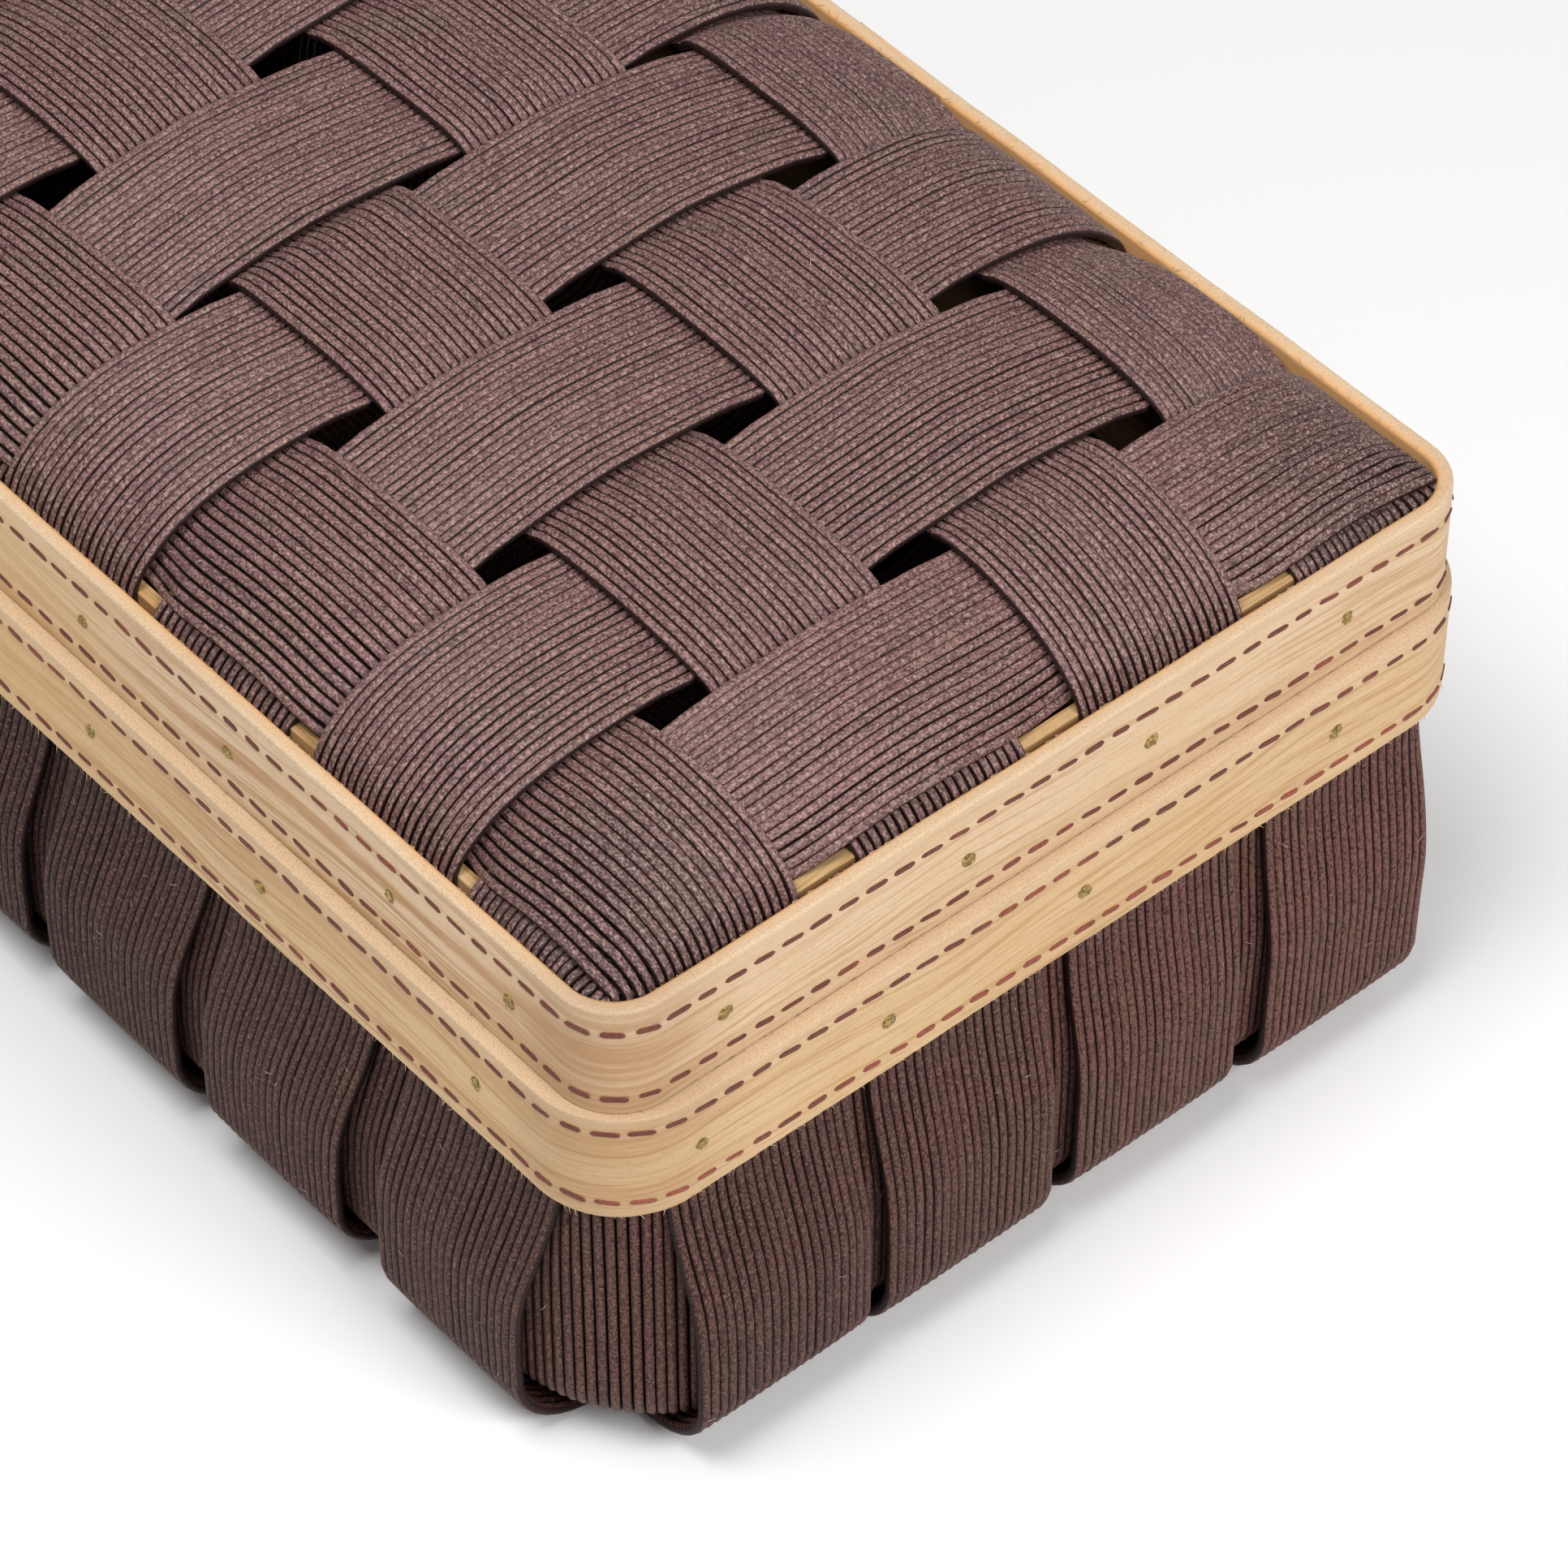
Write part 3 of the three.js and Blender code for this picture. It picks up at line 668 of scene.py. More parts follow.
class LidWeave:
    """The crowned plain weave of the lid; axis 0 runs along x and axis 1 along y"""

    def __init__(self, weave, cords, veneer):
        self.weave = weave
        self.cords = cords
        self.veneer = veneer
        self.slot = (LID_INNER + veneer.outer_thickness) / 2
        self.half = (LID_X, LID_Y)
        self.spans = (self.layout("cross", 0, weave.cross_shift), self.layout("long", 1, weave.long_shift))

    def layout(self, kind, axis, shifts):
        """Start and end of each ribbon across the lid; the outermost ones reach its edge"""
        width = self.cords.lid_pitch * self.cords.per_ribbon
        edge = self.half[axis] - self.weave.edge_insets[axis]
        spans = []
        for n, shift in enumerate(shifts):
            centre = middle(f"lid_{kind}_ribbon_{n + 1}", axis)
            if n == 0:
                spans.append((-edge, 2 * centre + edge + 2 * shift))
            elif n == len(shifts) - 1:
                spans.append((2 * centre - edge + 2 * shift, edge))
            else:
                spans.append((centre - width / 2 + shift, centre + width / 2 + shift))
        return spans

    def rise(self, half, place):
        """Share of the crown's height at a place along one axis"""
        return 1 - np.exp(-np.maximum(half - np.abs(place) - LID_INNER, 0) / self.weave.crown_reach)

    def inset(self, x, y):
        """Distance in from the inner band's outer face"""
        return np.minimum(LID_X - np.abs(x), LID_Y - np.abs(y)) - LID_INNER

    def height(self, x, y):
        """Level of the crowned surface that the ribbons cross"""
        edge = INNER_TOP + self.weave.edge_rise
        sink = self.weave.rim_sink * np.exp(-(np.maximum(self.inset(x, y), 0) / SINK_REACH) ** 2)
        return edge - sink + self.weave.crown_height * self.rise(LID_X, x) * self.rise(LID_Y, y)

    def normal(self, x, y):
        step = 0.2 * MM
        dx = (self.height(x + step, y) - self.height(x - step, y)) / (2 * step)
        dy = (self.height(x, y + step) - self.height(x, y - step)) / (2 * step)
        out = np.stack([-dx, -dy, np.ones_like(dx)], -1)
        return out / np.linalg.norm(out, axis=-1, keepdims=True)

    def stretched(self, place, other_place, axis):
        """The outermost cords reach further into the corners; place is along the axis"""
        inset = self.weave.edge_insets[axis]
        near = np.clip(1 - (self.half[axis] - np.abs(place) - inset) / CORNER_SIDE_REACH, 0, 1)
        end = np.clip(1 - (self.half[1 - axis] - np.abs(other_place) - inset) / CORNER_END_REACH, 0, 1)
        return place + np.sign(place) * self.weave.corner_stretch * near * end ** 2

    def slot_reach(self, across, axis):
        """Where the slot between the two bands lies along an axis"""
        corner = self.veneer.lid_corner
        short = np.maximum(corner - (self.half[1 - axis] - np.abs(across)), 0)
        return self.half[axis] - corner + np.sqrt(np.maximum((corner - self.slot) ** 2 - short ** 2, 0))

    def hump(self, distance, side, reach, top):
        """Height over the crown at a distance from a crossing's middle, none at the far side of the gap"""
        power = np.log(1 - self.weave.crossing_lift / top) / np.log(reach / side)
        return top * (1 - np.minimum(distance / side, 1) ** power)

    def crossings(self, axis, index, first_sign):
        """Stations along a ribbon and its height over the crown at each"""
        weave, half, spans = self.weave, self.half[axis], self.spans[axis]
        final = len(spans) - 1
        places, lifts = [], []
        for n, (start, end) in enumerate(spans):
            over = first_sign * (1 if (n + index) % 2 == 0 else -1)
            top, next_top = weave.over_height, weave.under_depth
            begin = weave.over_bend_start - half
            first, last = max(start, begin), min(end, -begin)
            if over < 0:
                top, next_top = next_top, top
                begin = weave.under_bend_start - half
                first, last = begin, -begin
            first = start if n else first
            last = end if n < final else last
            centre, reach = (start + end) / 2, (end - start) / 2
            before = (spans[n - 1][1] + start) / 2 if n else centre - reach * LAST_REACH
            after = (end + spans[n + 1][0]) / 2 if n < final else centre + reach * LAST_REACH
            stops = first + (last - first) * CROSSING_STOPS
            if n < final:
                gap = spans[n + 1][0] - end
                parts = 3 if gap < WIDE_GAP else 5
                stops = np.concatenate([stops, end + gap * np.arange(1, parts + 1) / (parts + 1)])
            side = np.where(stops < centre, centre - before, after - centre)
            lift = over * self.hump(np.abs(stops - centre), side, reach, top)
            if n < final:
                next_centre = sum(spans[n + 1]) / 2
                next_reach = (spans[n + 1][1] - spans[n + 1][0]) / 2
                other = -over * self.hump(next_centre - stops, next_centre - after, next_reach, next_top)
                lift = np.where(stops > after, other, lift)
            places.append(stops)
            lifts.append(lift)
        return np.concatenate(places), np.concatenate(lifts)

    def lines(self, axis, index, first_sign, source, strands):
        """Centre lines of all cords of one ribbon"""
        other = 1 - axis
        half = self.half[axis]
        start, end = self.spans[other][index]
        outermost = index in (0, len(self.spans[other]) - 1)
        share = strands.spacing(source)
        stations, lift = self.crossings(axis, index, first_sign)
        along = np.broadcast_to(stations, (len(share), len(stations)))
        across = start + (end - start) * share
        rim_shift = (self.weave.long_rim_shift if axis == 0 else self.weave.cross_rim_shift)[index]
        seen_end = along * (1 if axis == 0 else -1)
        near_end = np.clip((seen_end - half + SHIFT_START) / SHIFT_REACH, 0, 1) ** 1.5
        if outermost:
            across = self.even_on_slope(share, start, end, along, axis)
            free = (across - (start if index else end)) / ((end - start) if index else (start - end))
            rim_shift = rim_shift * (1 - np.clip(free, 0, 1))
        across = across + rim_shift * near_end
        across = across + source.uniform(-0.5, 0.5) * MM * along / half
        across = across + strands.wander(source, along)
        if outermost:
            outer = np.clip((share if index else 1 - share) * 1.9 - 0.9, 0, 1)
            dips = self.gap_dips(axis, stations) * outer
            lift = lift - dips * self.weave.gap_dips[other]
            across = across + dips * self.weave.gap_pushes[other] * (1 if index else -1)
        edge = (2 * share - 1) ** 4
        lift = lift * (1 + edge * np.where(lift > 0, OVER_EDGE, UNDER_EDGE))
        lift = lift + strands.wander(source, along) * 0.4
        places = self.stretched(along, across, axis), self.stretched(across, along, other)
        x, y = places if axis == 0 else places[::-1]
        points = np.stack([x, y, self.height(x, y)], -1) + self.normal(x, y) * lift[..., None]
        points[..., 2] = np.maximum(points[..., 2], self.band_rest(x, y))
        ends = [self.bend(points, axis, side) for side in (-1, 1)]
        return np.concatenate([ends[0][:, ::-1], points, ends[1]], 1)

    def band_rest(self, x, y):
        """Lowest level of a cord that lies on the inner band"""
        past = self.inset(x, y) - self.veneer.inner_thickness - self.veneer.inner_swell
        level = INNER_TOP + self.veneer.inner_rise + REST_SHARE * self.cords.lid_pitch * self.cords.fullness
        return level - REST_FALL * np.maximum(past, 0)

    def gap_dips(self, axis, stations):
        """Drop of an outermost cord between two crossings, where nothing lies under it"""
        drop = np.zeros_like(stations)
        for (_, end), (start, _) in zip(self.spans[axis][:-1], self.spans[axis][1:]):
            centre, reach = (end + start) / 2, (start - end) / 2 + self.weave.gap_blend
            drop += np.cos(np.clip((stations - centre) / reach, -1, 1) * math.pi / 2) ** 2
        return drop

    def even_on_slope(self, share, start, end, along, axis):
        """Outermost ribbons lie on the slope, so their cords look closer from above"""
        fine = np.linspace(start, end, 60)
        slope = np.gradient(self.weave.crown_height * self.rise(self.half[1 - axis], fine), fine)
        length = np.cumsum(np.sqrt(1 + slope ** 2))
        length = (length - length[0]) / (length[-1] - length[0])
        sloped = np.interp(share, length, fine)
        flat = start + (end - start) * share
        return mix(flat, sloped, self.rise(self.half[axis], along))

    def bend(self, points, axis, side):
        """The bend at one end, down into the slot between the bands"""
        last, before = (points[:, -1], points[:, -2]) if side > 0 else (points[:, 0], points[:, 1])
        place = np.abs(last[:, axis])
        run = np.maximum(self.slot_reach(last[:, 1 - axis], axis) - place, SHORTEST_BEND)
        slope = np.arctan2(before[:, 2] - last[:, 2], place - np.abs(before[:, axis]))
        slope = np.clip(slope, 0.0, STEEPEST_END)
        radius = run / (1 - np.sin(slope))
        loop = []
        for t in BEND_STOPS:
            angle = slope + (math.pi / 2 - slope) * t
            point = last.copy()
            point[:, axis] = side * (place + radius * (np.sin(angle) - np.sin(slope)))
            point[:, 2] = last[:, 2] + radius * (np.cos(angle) - np.cos(slope))
            loop.append(point)
        foot = loop[-1].copy()
        foot[:, 2] = LID_LOW + SLOT_FOOT
        return np.stack([*loop, (loop[-1] + foot) / 2, foot], 1)


class BASKET_OT_lid_ribbons(Operator):
    """Weave the lid's long and cross ribbons from paper cords"""
    bl_idname = "basket.lid_ribbons"
    bl_label = "Lid ribbons"

    def execute(self, context):
        cords = context.scene.basket_cords
        strands = Strands(cords)
        weave = LidWeave(context.scene.basket_lid, cords, context.scene.basket_veneer)
        material = cord_material("lid paper cord", cords.crest, cords.warm_crest, cords.painted_groove_shade, lid_painted_light,
                                 gloss=0.42, groove_width=0.80, pit_shade_strength=0.25, painted_crest_shade=0.20)
        for kind, axis, count, sign in (("long", 0, LID_LONG, 1), ("cross", 1, LID_CROSS, -1)):
            for n in range(count):
                source = np.random.default_rng(100 * (axis + 1) + n)
                points = weave.lines(axis, n, sign, source, strands)
                strands.make(f"lid_{kind}_ribbon_{n + 1}", points, (0, 0, 1), cords.lid_pitch, source,
                             material, "lid", "woven_ribbon", sides=10, slim_ends=7)
        return {"FINISHED"}


# Base weave

RIM_CLEARANCE = 0.15 * MM
# The ribbons draw in a little towards the foot; levels on the bottom are in cord radii
FOOT_WIDTH = 0.97
LOW_LEVEL, HIGH_LEVEL, TUCK_LEVEL = 1.05, 3.1, 5.35
CORNER_TUCK_RISE = 1.5 * MM
# How far a wall ribbon's edges curl inwards, and the usual distance of its stations
EDGE_CURL = 0.55 * MM
WALL_STEP = 4 * MM


class BaseWeave:
    """The walls and the woven bottom of the base; axis 0 runs along x and axis 1 along y"""

    def __init__(self, walls, cords, veneer):
        self.walls = walls
        self.corner = veneer.base_corner
        self.radius = cords.wall_pitch * cords.fullness
        self.slot = veneer.outer_thickness + self.radius + RIM_CLEARANCE
        self.filler_slot = BASE_INNER - self.radius * 0.94 - RIM_CLEARANCE
        self.wall = self.radius - walls.bulge
        self.filler_wall = self.wall + walls.recess
        self.foot = self.wall + walls.foot_radius
        self.foot_level = walls.foot_radius + self.radius
        self.low = self.radius * LOW_LEVEL
        self.high = self.radius * HIGH_LEVEL
        self.tuck_level = self.radius * TUCK_LEVEL
        self.half = (BASE_X, BASE_Y)
        self.rim_width = cords.wall_pitch * cords.per_ribbon
        self.foot_width = self.rim_width * FOOT_WIDTH
        self.tops = (self.middles("cross", 0, walls.front_top_shift),
                     self.middles("long", 1, walls.side_top_shift))
        self.feet = (self.middles("cross", 0, walls.front_foot_shift),
                     self.middles("long", 1, walls.side_foot_shift))

    def middles(self, kind, axis, shifts):
        return [middle(f"base_{kind}_ribbon_{n + 1}", axis) + shift for n, shift in enumerate(shifts)]

    def section(self, slot, wall, level):
        """Inset and height of a wall cord, from the rim down to the foot"""
        rows = [(slot, BASE_TOP - 0.6 * MM), (slot, BASE_TOP - 12 * MM), (slot, BAND_LOW + 1 * MM)]
        for t in np.linspace(0, 1, 13)[1:]:
            rows.append((mix(slot, wall, smooth(t)), mix(BAND_LOW, self.walls.bulge_level, t)))
        rows.append((wall, mix(self.walls.bulge_level, self.foot_level, 0.5)))
        for t in np.linspace(0, 1, 10)[1:]:
            angle = t * math.pi / 2
            rows.append((self.foot - (self.foot - wall) * math.cos(angle),
                         self.foot_level - (self.foot_level - level) * math.sin(angle)))
        return np.array(rows)

    def corner_shift(self, across, half):
        """How much further in the slot lies beside a rounded corner"""
        short = np.maximum(np.abs(across) - (half - self.corner), 0)
        radius = self.corner - self.slot
        return radius - np.sqrt(np.maximum(radius ** 2 - short ** 2, 0))

    def wall_end(self, axis, side, share, top, foot, level, slot, wall):
        """Cord lines down one wall; top and foot are the ribbon's middles there"""
        inset, height = self.section(slot, wall, level).T
        down = smooth((BAND_LOW + 8 * MM - height) / (BAND_LOW - 16 * MM))
        width = mix(self.rim_width, self.foot_width, down)
        across = mix(top, foot, down) + (share - 0.5) * width
        lift = smooth((height - self.walls.bulge_level) / (BAND_LOW - self.walls.bulge_level))
        pushed = inset + lift * self.corner_shift(across, self.half[1 - axis])
        belly = np.sin(np.clip((BAND_LOW - height) / (BAND_LOW - self.low), 0, 1) * math.pi)
        pushed = pushed + EDGE_CURL * belly * (2 * share - 1) ** 4
        along = side * (self.half[axis] - pushed)
        return self.placed(axis, along, across, np.broadcast_to(height, along.shape))

    def placed(self, axis, along, across, height):
        return np.stack([along, across, height] if axis == 0 else [across, along, height], -1)

    def swayed(self, points, axis, source, strands):
        """The cords wander a little along the given axis"""
        points[..., axis] += strands.wander(source, np.cumsum(np.full(points.shape[:2], WALL_STEP), axis=1))
        return points

    def ribbon(self, axis, index, first_sign, source, strands):
        """Down one wall, across the bottom and up the other wall"""
        other = 1 - axis
        share = strands.spacing(source)
        crossed = self.feet[axis]
        final = len(crossed) - 1
        half_width = self.foot_width / 2
        levels = [self.high if first_sign * (1 if (n + index) % 2 == 0 else -1) > 0 else self.low
                  for n in range(len(crossed))]
        top, foot = self.tops[other][index], self.feet[other][index]
        far_top = top + source.uniform(-0.8, 0.8) * MM
        first = self.wall_end(axis, -1, share, far_top, foot, levels[0], self.slot, self.wall)
        last = self.wall_end(axis, 1, share, top, foot, levels[-1], self.slot, self.wall)
        stops, heights = [], []
        for n, centre in enumerate(crossed):
            for mark in ([-1.0] if n else []) + [-0.3, 0.3] + ([1.0] if n < final else []):
                stops.append(centre + mark * half_width)
                heights.append(levels[n])
            if n < final:
                gap = crossed[n + 1] - centre - 2 * half_width
                for t in (0.33, 0.67):
                    stops.append(centre + half_width + gap * t)
                    heights.append(mix(levels[n], levels[n + 1], float(smooth(t))))
        stops = np.broadcast_to(np.array(stops), (len(share), len(stops)))
        heights = np.broadcast_to(np.array(heights), stops.shape)
        across = np.broadcast_to(foot + (share - 0.5) * self.foot_width, stops.shape)
        points = np.concatenate([first, self.placed(axis, stops, across, heights), last[:, ::-1]], 1)
        return self.swayed(points, other, source, strands)

    def filler(self, axis, side, index, source, strands):
        """A short recessed ribbon behind the gap between two wall ribbons"""
        other = 1 - axis
        share = strands.spacing(source)
        top = (self.tops[other][index] + self.tops[other][index + 1]) / 2
        foot = (self.feet[other][index] + self.feet[other][index + 1]) / 2
        points = self.wall_end(axis, side, share, top, foot, self.tuck_level, self.filler_slot,
                               self.filler_wall)
        tip = points[:, -1].copy()
        tip[:, axis] -= side * self.walls.tuck
        return self.swayed(np.concatenate([points, tip[:, None]], 1), other, source, strands)

    def corner_ribbon(self, side_x, side_y, source, strands):
        """Bent round the corner at the rim, nearly flat where it tucks in"""
        share = strands.spacing(source) * 2 - 1
        rim_radius = self.corner - self.filler_slot
        wall_radius = self.rim_width * 2 / math.pi * 1.1
        diagonal_share = 1 - math.sqrt(0.5)
        tuck_level = self.tuck_level + CORNER_TUCK_RISE
        rows = self.section(self.filler_slot, self.filler_wall, tuck_level)
        inset, height = np.vstack([rows, (self.foot + 2 * MM, tuck_level)]).T
        rim_diagonal = self.filler_slot + rim_radius * diagonal_share
        wall_diagonal = self.filler_wall + wall_radius * diagonal_share
        down = np.clip((inset - self.filler_slot) / (self.filler_wall - self.filler_slot), 0, 1)
        on_wall = np.where(height >= self.walls.bulge_level - 1e-6, down, 1)
        under = np.where(height < self.foot_level + 1e-6,
                         np.clip((inset - self.filler_wall) / self.walls.foot_radius, 0, 1), 0)
        diagonal = (mix(rim_diagonal, wall_diagonal, on_wall)
                    + under * (self.foot - self.filler_wall) * math.sqrt(0.5))
        radius = mix(rim_radius, wall_radius, on_wall) * (1 + under * 0.15)
        length = share * self.rim_width / 2
        bend = np.minimum(np.abs(length), radius * math.pi / 4) * np.sign(length)
        angle = math.pi / 4 + bend / radius
        rest = length - bend
        centre = diagonal + radius * math.sqrt(0.5)
        x = centre - radius * np.cos(angle) + rest * np.sin(angle)
        y = centre - radius * np.sin(angle) - rest * np.cos(angle)
        low = np.clip((self.foot_level - height) / (self.foot_level - height[-1]), 0, 1)
        z = np.broadcast_to(height, x.shape) + low * np.where(share > 0, 2.0, 4.2) * share * MM
        return np.stack([side_x * (BASE_X - x), side_y * (BASE_Y - y), z], -1)


def base_weaving(context):
    """What every operator that weaves the base starts from"""
    cords = context.scene.basket_cords
    return cords, Strands(cords), BaseWeave(context.scene.basket_walls, cords, context.scene.basket_veneer)


def wall_cord_material(name, cords, wear_and_painted_light, gloss, pit_shade_strength):
    return cord_material(name, cords.shaded_wall_crest, cords.shaded_wall_warm_crest, cords.painted_groove_shade, wear_and_painted_light,
                         gloss=gloss, groove_width=0.84, pit_shade_strength=pit_shade_strength, painted_crest_shade=0.52)


class BASKET_OT_base_ribbons(Operator):
    """Weave the base's ribbons, down the walls and across the bottom"""
    bl_idname = "basket.base_ribbons"
    bl_label = "Base ribbons"

    def execute(self, context):
        cords, strands, weave = base_weaving(context)
        material = wall_cord_material("wall paper cord", cords, wall_painted_light, gloss=0.14, pit_shade_strength=0.7)
        for kind, axis, count, sign in (("long", 0, BASE_LONG, -1), ("cross", 1, BASE_CROSS, 1)):
            for n in range(count):
                source = np.random.default_rng(300 + 100 * axis + n)
                points = weave.ribbon(axis, n, sign, source, strands)
                strands.make(f"base_{kind}_ribbon_{n + 1}", points, (0, 0, -1), cords.wall_pitch, source,
                             material, "base", "woven_ribbon")
        return {"FINISHED"}


class BASKET_OT_fillers(Operator):
    """Lay the recessed fillers of the walls and the four corner ribbons"""
    bl_idname = "basket.fillers"
    bl_label = "Wall fillers and corner ribbons"

    def execute(self, context):
        cords, strands, weave = base_weaving(context)
        material = wall_cord_material("filler paper cord", cords, wall_painted_light, gloss=0.12, pit_shade_strength=0.8)
        corner_material = wall_cord_material("corner paper cord", cords, corner_painted_light, gloss=0.12, pit_shade_strength=0.8)
        walls = (("right", 0, 1, BASE_LONG), ("left", 0, -1, BASE_LONG),
                 ("front", 1, -1, BASE_CROSS), ("back", 1, 1, BASE_CROSS))
        for place, axis, side, count in walls:
            facing = (side, 0, 0) if axis == 0 else (0, side, 0)
            for n in range(count - 1):
                source = np.random.default_rng(500 + 60 * axis + 30 * (side > 0) + n)
                points = weave.filler(axis, side, n, source, strands)
                strands.make(f"{place}_wall_filler_{n + 1}", points, facing, cords.wall_pitch * 0.94, source,
                             material, "base", "filler_ribbon")
        for name_x, side_x in (("right", 1), ("left", -1)):
            for name_y, side_y in (("front", -1), ("back", 1)):
                source = np.random.default_rng(700 + side_x * 2 + side_y)
                points = weave.corner_ribbon(side_x, side_y, source, strands)
                strands.make(f"{name_y}_{name_x}_corner_ribbon", points, (side_x, side_y, 0),
                             cords.wall_pitch * 0.97, source, corner_material, "base", "filler_ribbon")
        return {"FINISHED"}


# Bands

CORNER_STEPS = 20
SKIVED_EDGE = 0.3 * MM
WAVE_REACHES = (0.05, 0.16)
QUIET_END = 0.04


def ring_path(half_x, half_y, corner, overlap=0.0, step=4 * MM):
    """Points, outward directions and distances round a rounded rectangle from the back middle"""
    points, out = [], []
    cx, cy = half_x - corner, half_y - corner

    def run(start, end, direction):
        count = max(2, int(math.dist(start, end) / step))
        for t in range(count):
            points.append(tuple(mix(np.array(start), np.array(end), t / count)))
            out.append(direction)

    def turn(x, y, first):
        for n in range(CORNER_STEPS):
            angle = first + n / CORNER_STEPS * math.pi / 2
            out.append((math.cos(angle), math.sin(angle)))
            points.append((x + corner * math.cos(angle), y + corner * math.sin(angle)))

    run((overlap / 2, half_y), (-cx, half_y), (0, 1))
    turn(-cx, cy, math.pi / 2)
    run((-half_x, cy), (-half_x, -cy), (-1, 0))
    turn(-cx, -cy, math.pi)
    run((-cx, -half_y), (cx, -half_y), (0, -1))
    turn(cx, -cy, 1.5 * math.pi)
    run((half_x, -cy), (half_x, cy), (1, 0))
    turn(cx, cy, 0)
    run((cx, half_y), (-overlap / 2, half_y), (0, 1))
    points.append((-overlap / 2, half_y))
    out.append((0, 1))
    points, out = np.array(points), np.array(out)
    along = np.concatenate([[0], np.cumsum(np.linalg.norm(np.diff(points, axis=0), axis=1))])
    return points, out, along


def closed_line(body, inset, level, lean=0.0):
    """A closed line on or in a band's face; its outward direction may lean up or down"""
    points, out, _ = ring_path(*outline(body))
    points, out = points[:-1], out[:-1]
    places = np.column_stack([points - out * inset, np.full(len(points), level)])
    return places, np.column_stack([out * math.cos(lean), np.full(len(out), math.sin(lean))])


def band_section(thickness, low, high, outer_rounding, inner_rounding, foot_rounding):
    """Depth and height round a band's section, from the inside foot"""
    rows = []

    def arc(depth, height, radius, first):
        for n in range(5):
            angle = first + n / 4 * math.pi / 2
            rows.append((depth + radius * math.cos(angle), height + radius * math.sin(angle)))

    small = min(0.5 * MM, thickness * 0.3)
    outer = min(outer_rounding, thickness * 0.5)
    inner = min(inner_rounding, thickness * 0.3)
    arc(thickness - small, low + small, small, -math.pi / 2)
    arc(thickness - inner, high - inner, inner, 0)
    arc(outer, high - outer, outer, math.pi / 2)
    rows.extend((0, mix(high - outer, low + foot_rounding, t)) for t in (0.2, 0.4, 0.6, 0.8))
    arc(foot_rounding, low + foot_rounding, foot_rounding, math.pi)
    return np.array(rows)


def band_mesh(name, body, inset, thickness, low, high, roundings, lap, sway, frayed, edge_waves, step, seed):
    """A bent strip whose skived ends lap on the far long side"""
    points, out, along = ring_path(*outline(body), overlap=lap, step=step)
    section = band_section(thickness, low, high, *roundings)
    total = along[-1]
    source = np.random.default_rng(seed)
    waves = [(source.uniform(*WAVE_REACHES), source.uniform(0, 6), source.uniform(0, 6)) for _ in range(4)]
    tufts = np.abs(source.normal(0, 0.6, len(points)))
    nicks = np.abs(source.normal(0, 0.5, len(points))) * (1 + 2 * (source.uniform(0, 1, len(points)) > 0.96))
    share = (section[:, 1] - low) / (high - low)
    foot = np.clip(1 - share / 0.05, 0, 1)
    brow = edge_waves[1] * np.clip(1 - (1 - share) / 0.03, 0, 1)
    rows = []
    for (x, y), (nx, ny), at, tuft, nick in zip(points, out, along, tufts, nicks):
        inner = mix(thickness - SKIVED_EDGE, 0.0, np.clip(at / lap, 0, 1)) if at < lap else 0.0
        left = total - at
        outer = mix(SKIVED_EDGE, thickness, np.clip(left / lap, 0, 1)) if left < lap else thickness
        depth = inner + section[:, 0] / thickness * (outer - inner)
        bow = sum(math.sin(at / reach * 2 * math.pi + first) for reach, first, _ in waves) / 4
        drop = sum(math.sin(at / reach * 2 * math.pi * 1.7 + second) for reach, _, second in waves) / 4
        quiet = min(1.0, at / QUIET_END, left / QUIET_END)
        height = section[:, 1] + sway * drop * quiet * (edge_waves[0] * (1 - share) + edge_waves[1] * share)
        height = height + frayed * (foot * tuft - 0.7 * brow * nick)
        push = -(inset + depth) + sway * bow * quiet * 0.45 * np.sin(share * math.pi)
        rows.append(np.stack([x + nx * push, y + ny * push, height], -1))
    return strip_mesh(name, np.array(rows), section, along, thickness, high, 2.4 * roundings[0])


def strip_mesh(name, rows, section, along, thickness, high, rim_reach):
    """Faces, grain direction and rim and inside marks of a strip: rows is sections x points x 3"""
    count, size = rows.shape[:2]
    index = np.arange(count * size).reshape(count, size)
    after = np.roll(index, -1, axis=1)
    quads = np.stack([index[:-1], after[:-1], after[1:], index[1:]], -1).reshape(-1, 4)
    faces = quads.tolist() + [index[0][::-1].tolist(), index[-1].tolist()]
    mesh = bpy.data.meshes.new(name)
    mesh.from_pydata(rows.reshape(-1, 3).tolist(), [], faces)
    sides = np.linalg.norm(np.diff(np.vstack([section, section[:1]]), axis=0), axis=1)
    around = np.concatenate([[0], np.cumsum(sides)])
    corners = np.zeros(len(mesh.loops), np.int32)
    mesh.loops.foreach_get("vertex_index", corners)
    uv = np.stack([np.repeat(along, size)[corners], np.tile(around[:-1], count)[corners]], -1)
    last_row = np.zeros(len(corners), bool)
    last_row[:len(quads) * 4] = np.repeat(np.arange(len(quads)) % size == size - 1, 4)
    uv[last_row & (uv[:, 1] < around[-1] / 2), 1] += around[-1]
    mesh.uv_layers.new(name="grain").data.foreach_set("uv", uv.reshape(-1).astype(np.float32))
    store(mesh, "rim", np.tile(np.clip((section[:, 1] - high + rim_reach) / (0.77 * rim_reach), 0, 1), count))
    store(mesh, "inside", np.tile(smooth((section[:, 0] / thickness - 0.55) / 0.35), count))
    mesh.polygons.foreach_set("use_smooth", [True] * len(quads) + [False, False])
    mesh.update()
    volume = sum(mesh.vertices[p.vertices[0]].co.dot(p.normal) * p.area for p in mesh.polygons)
    if volume < 0:
        mesh.flip_normals()
    return mesh


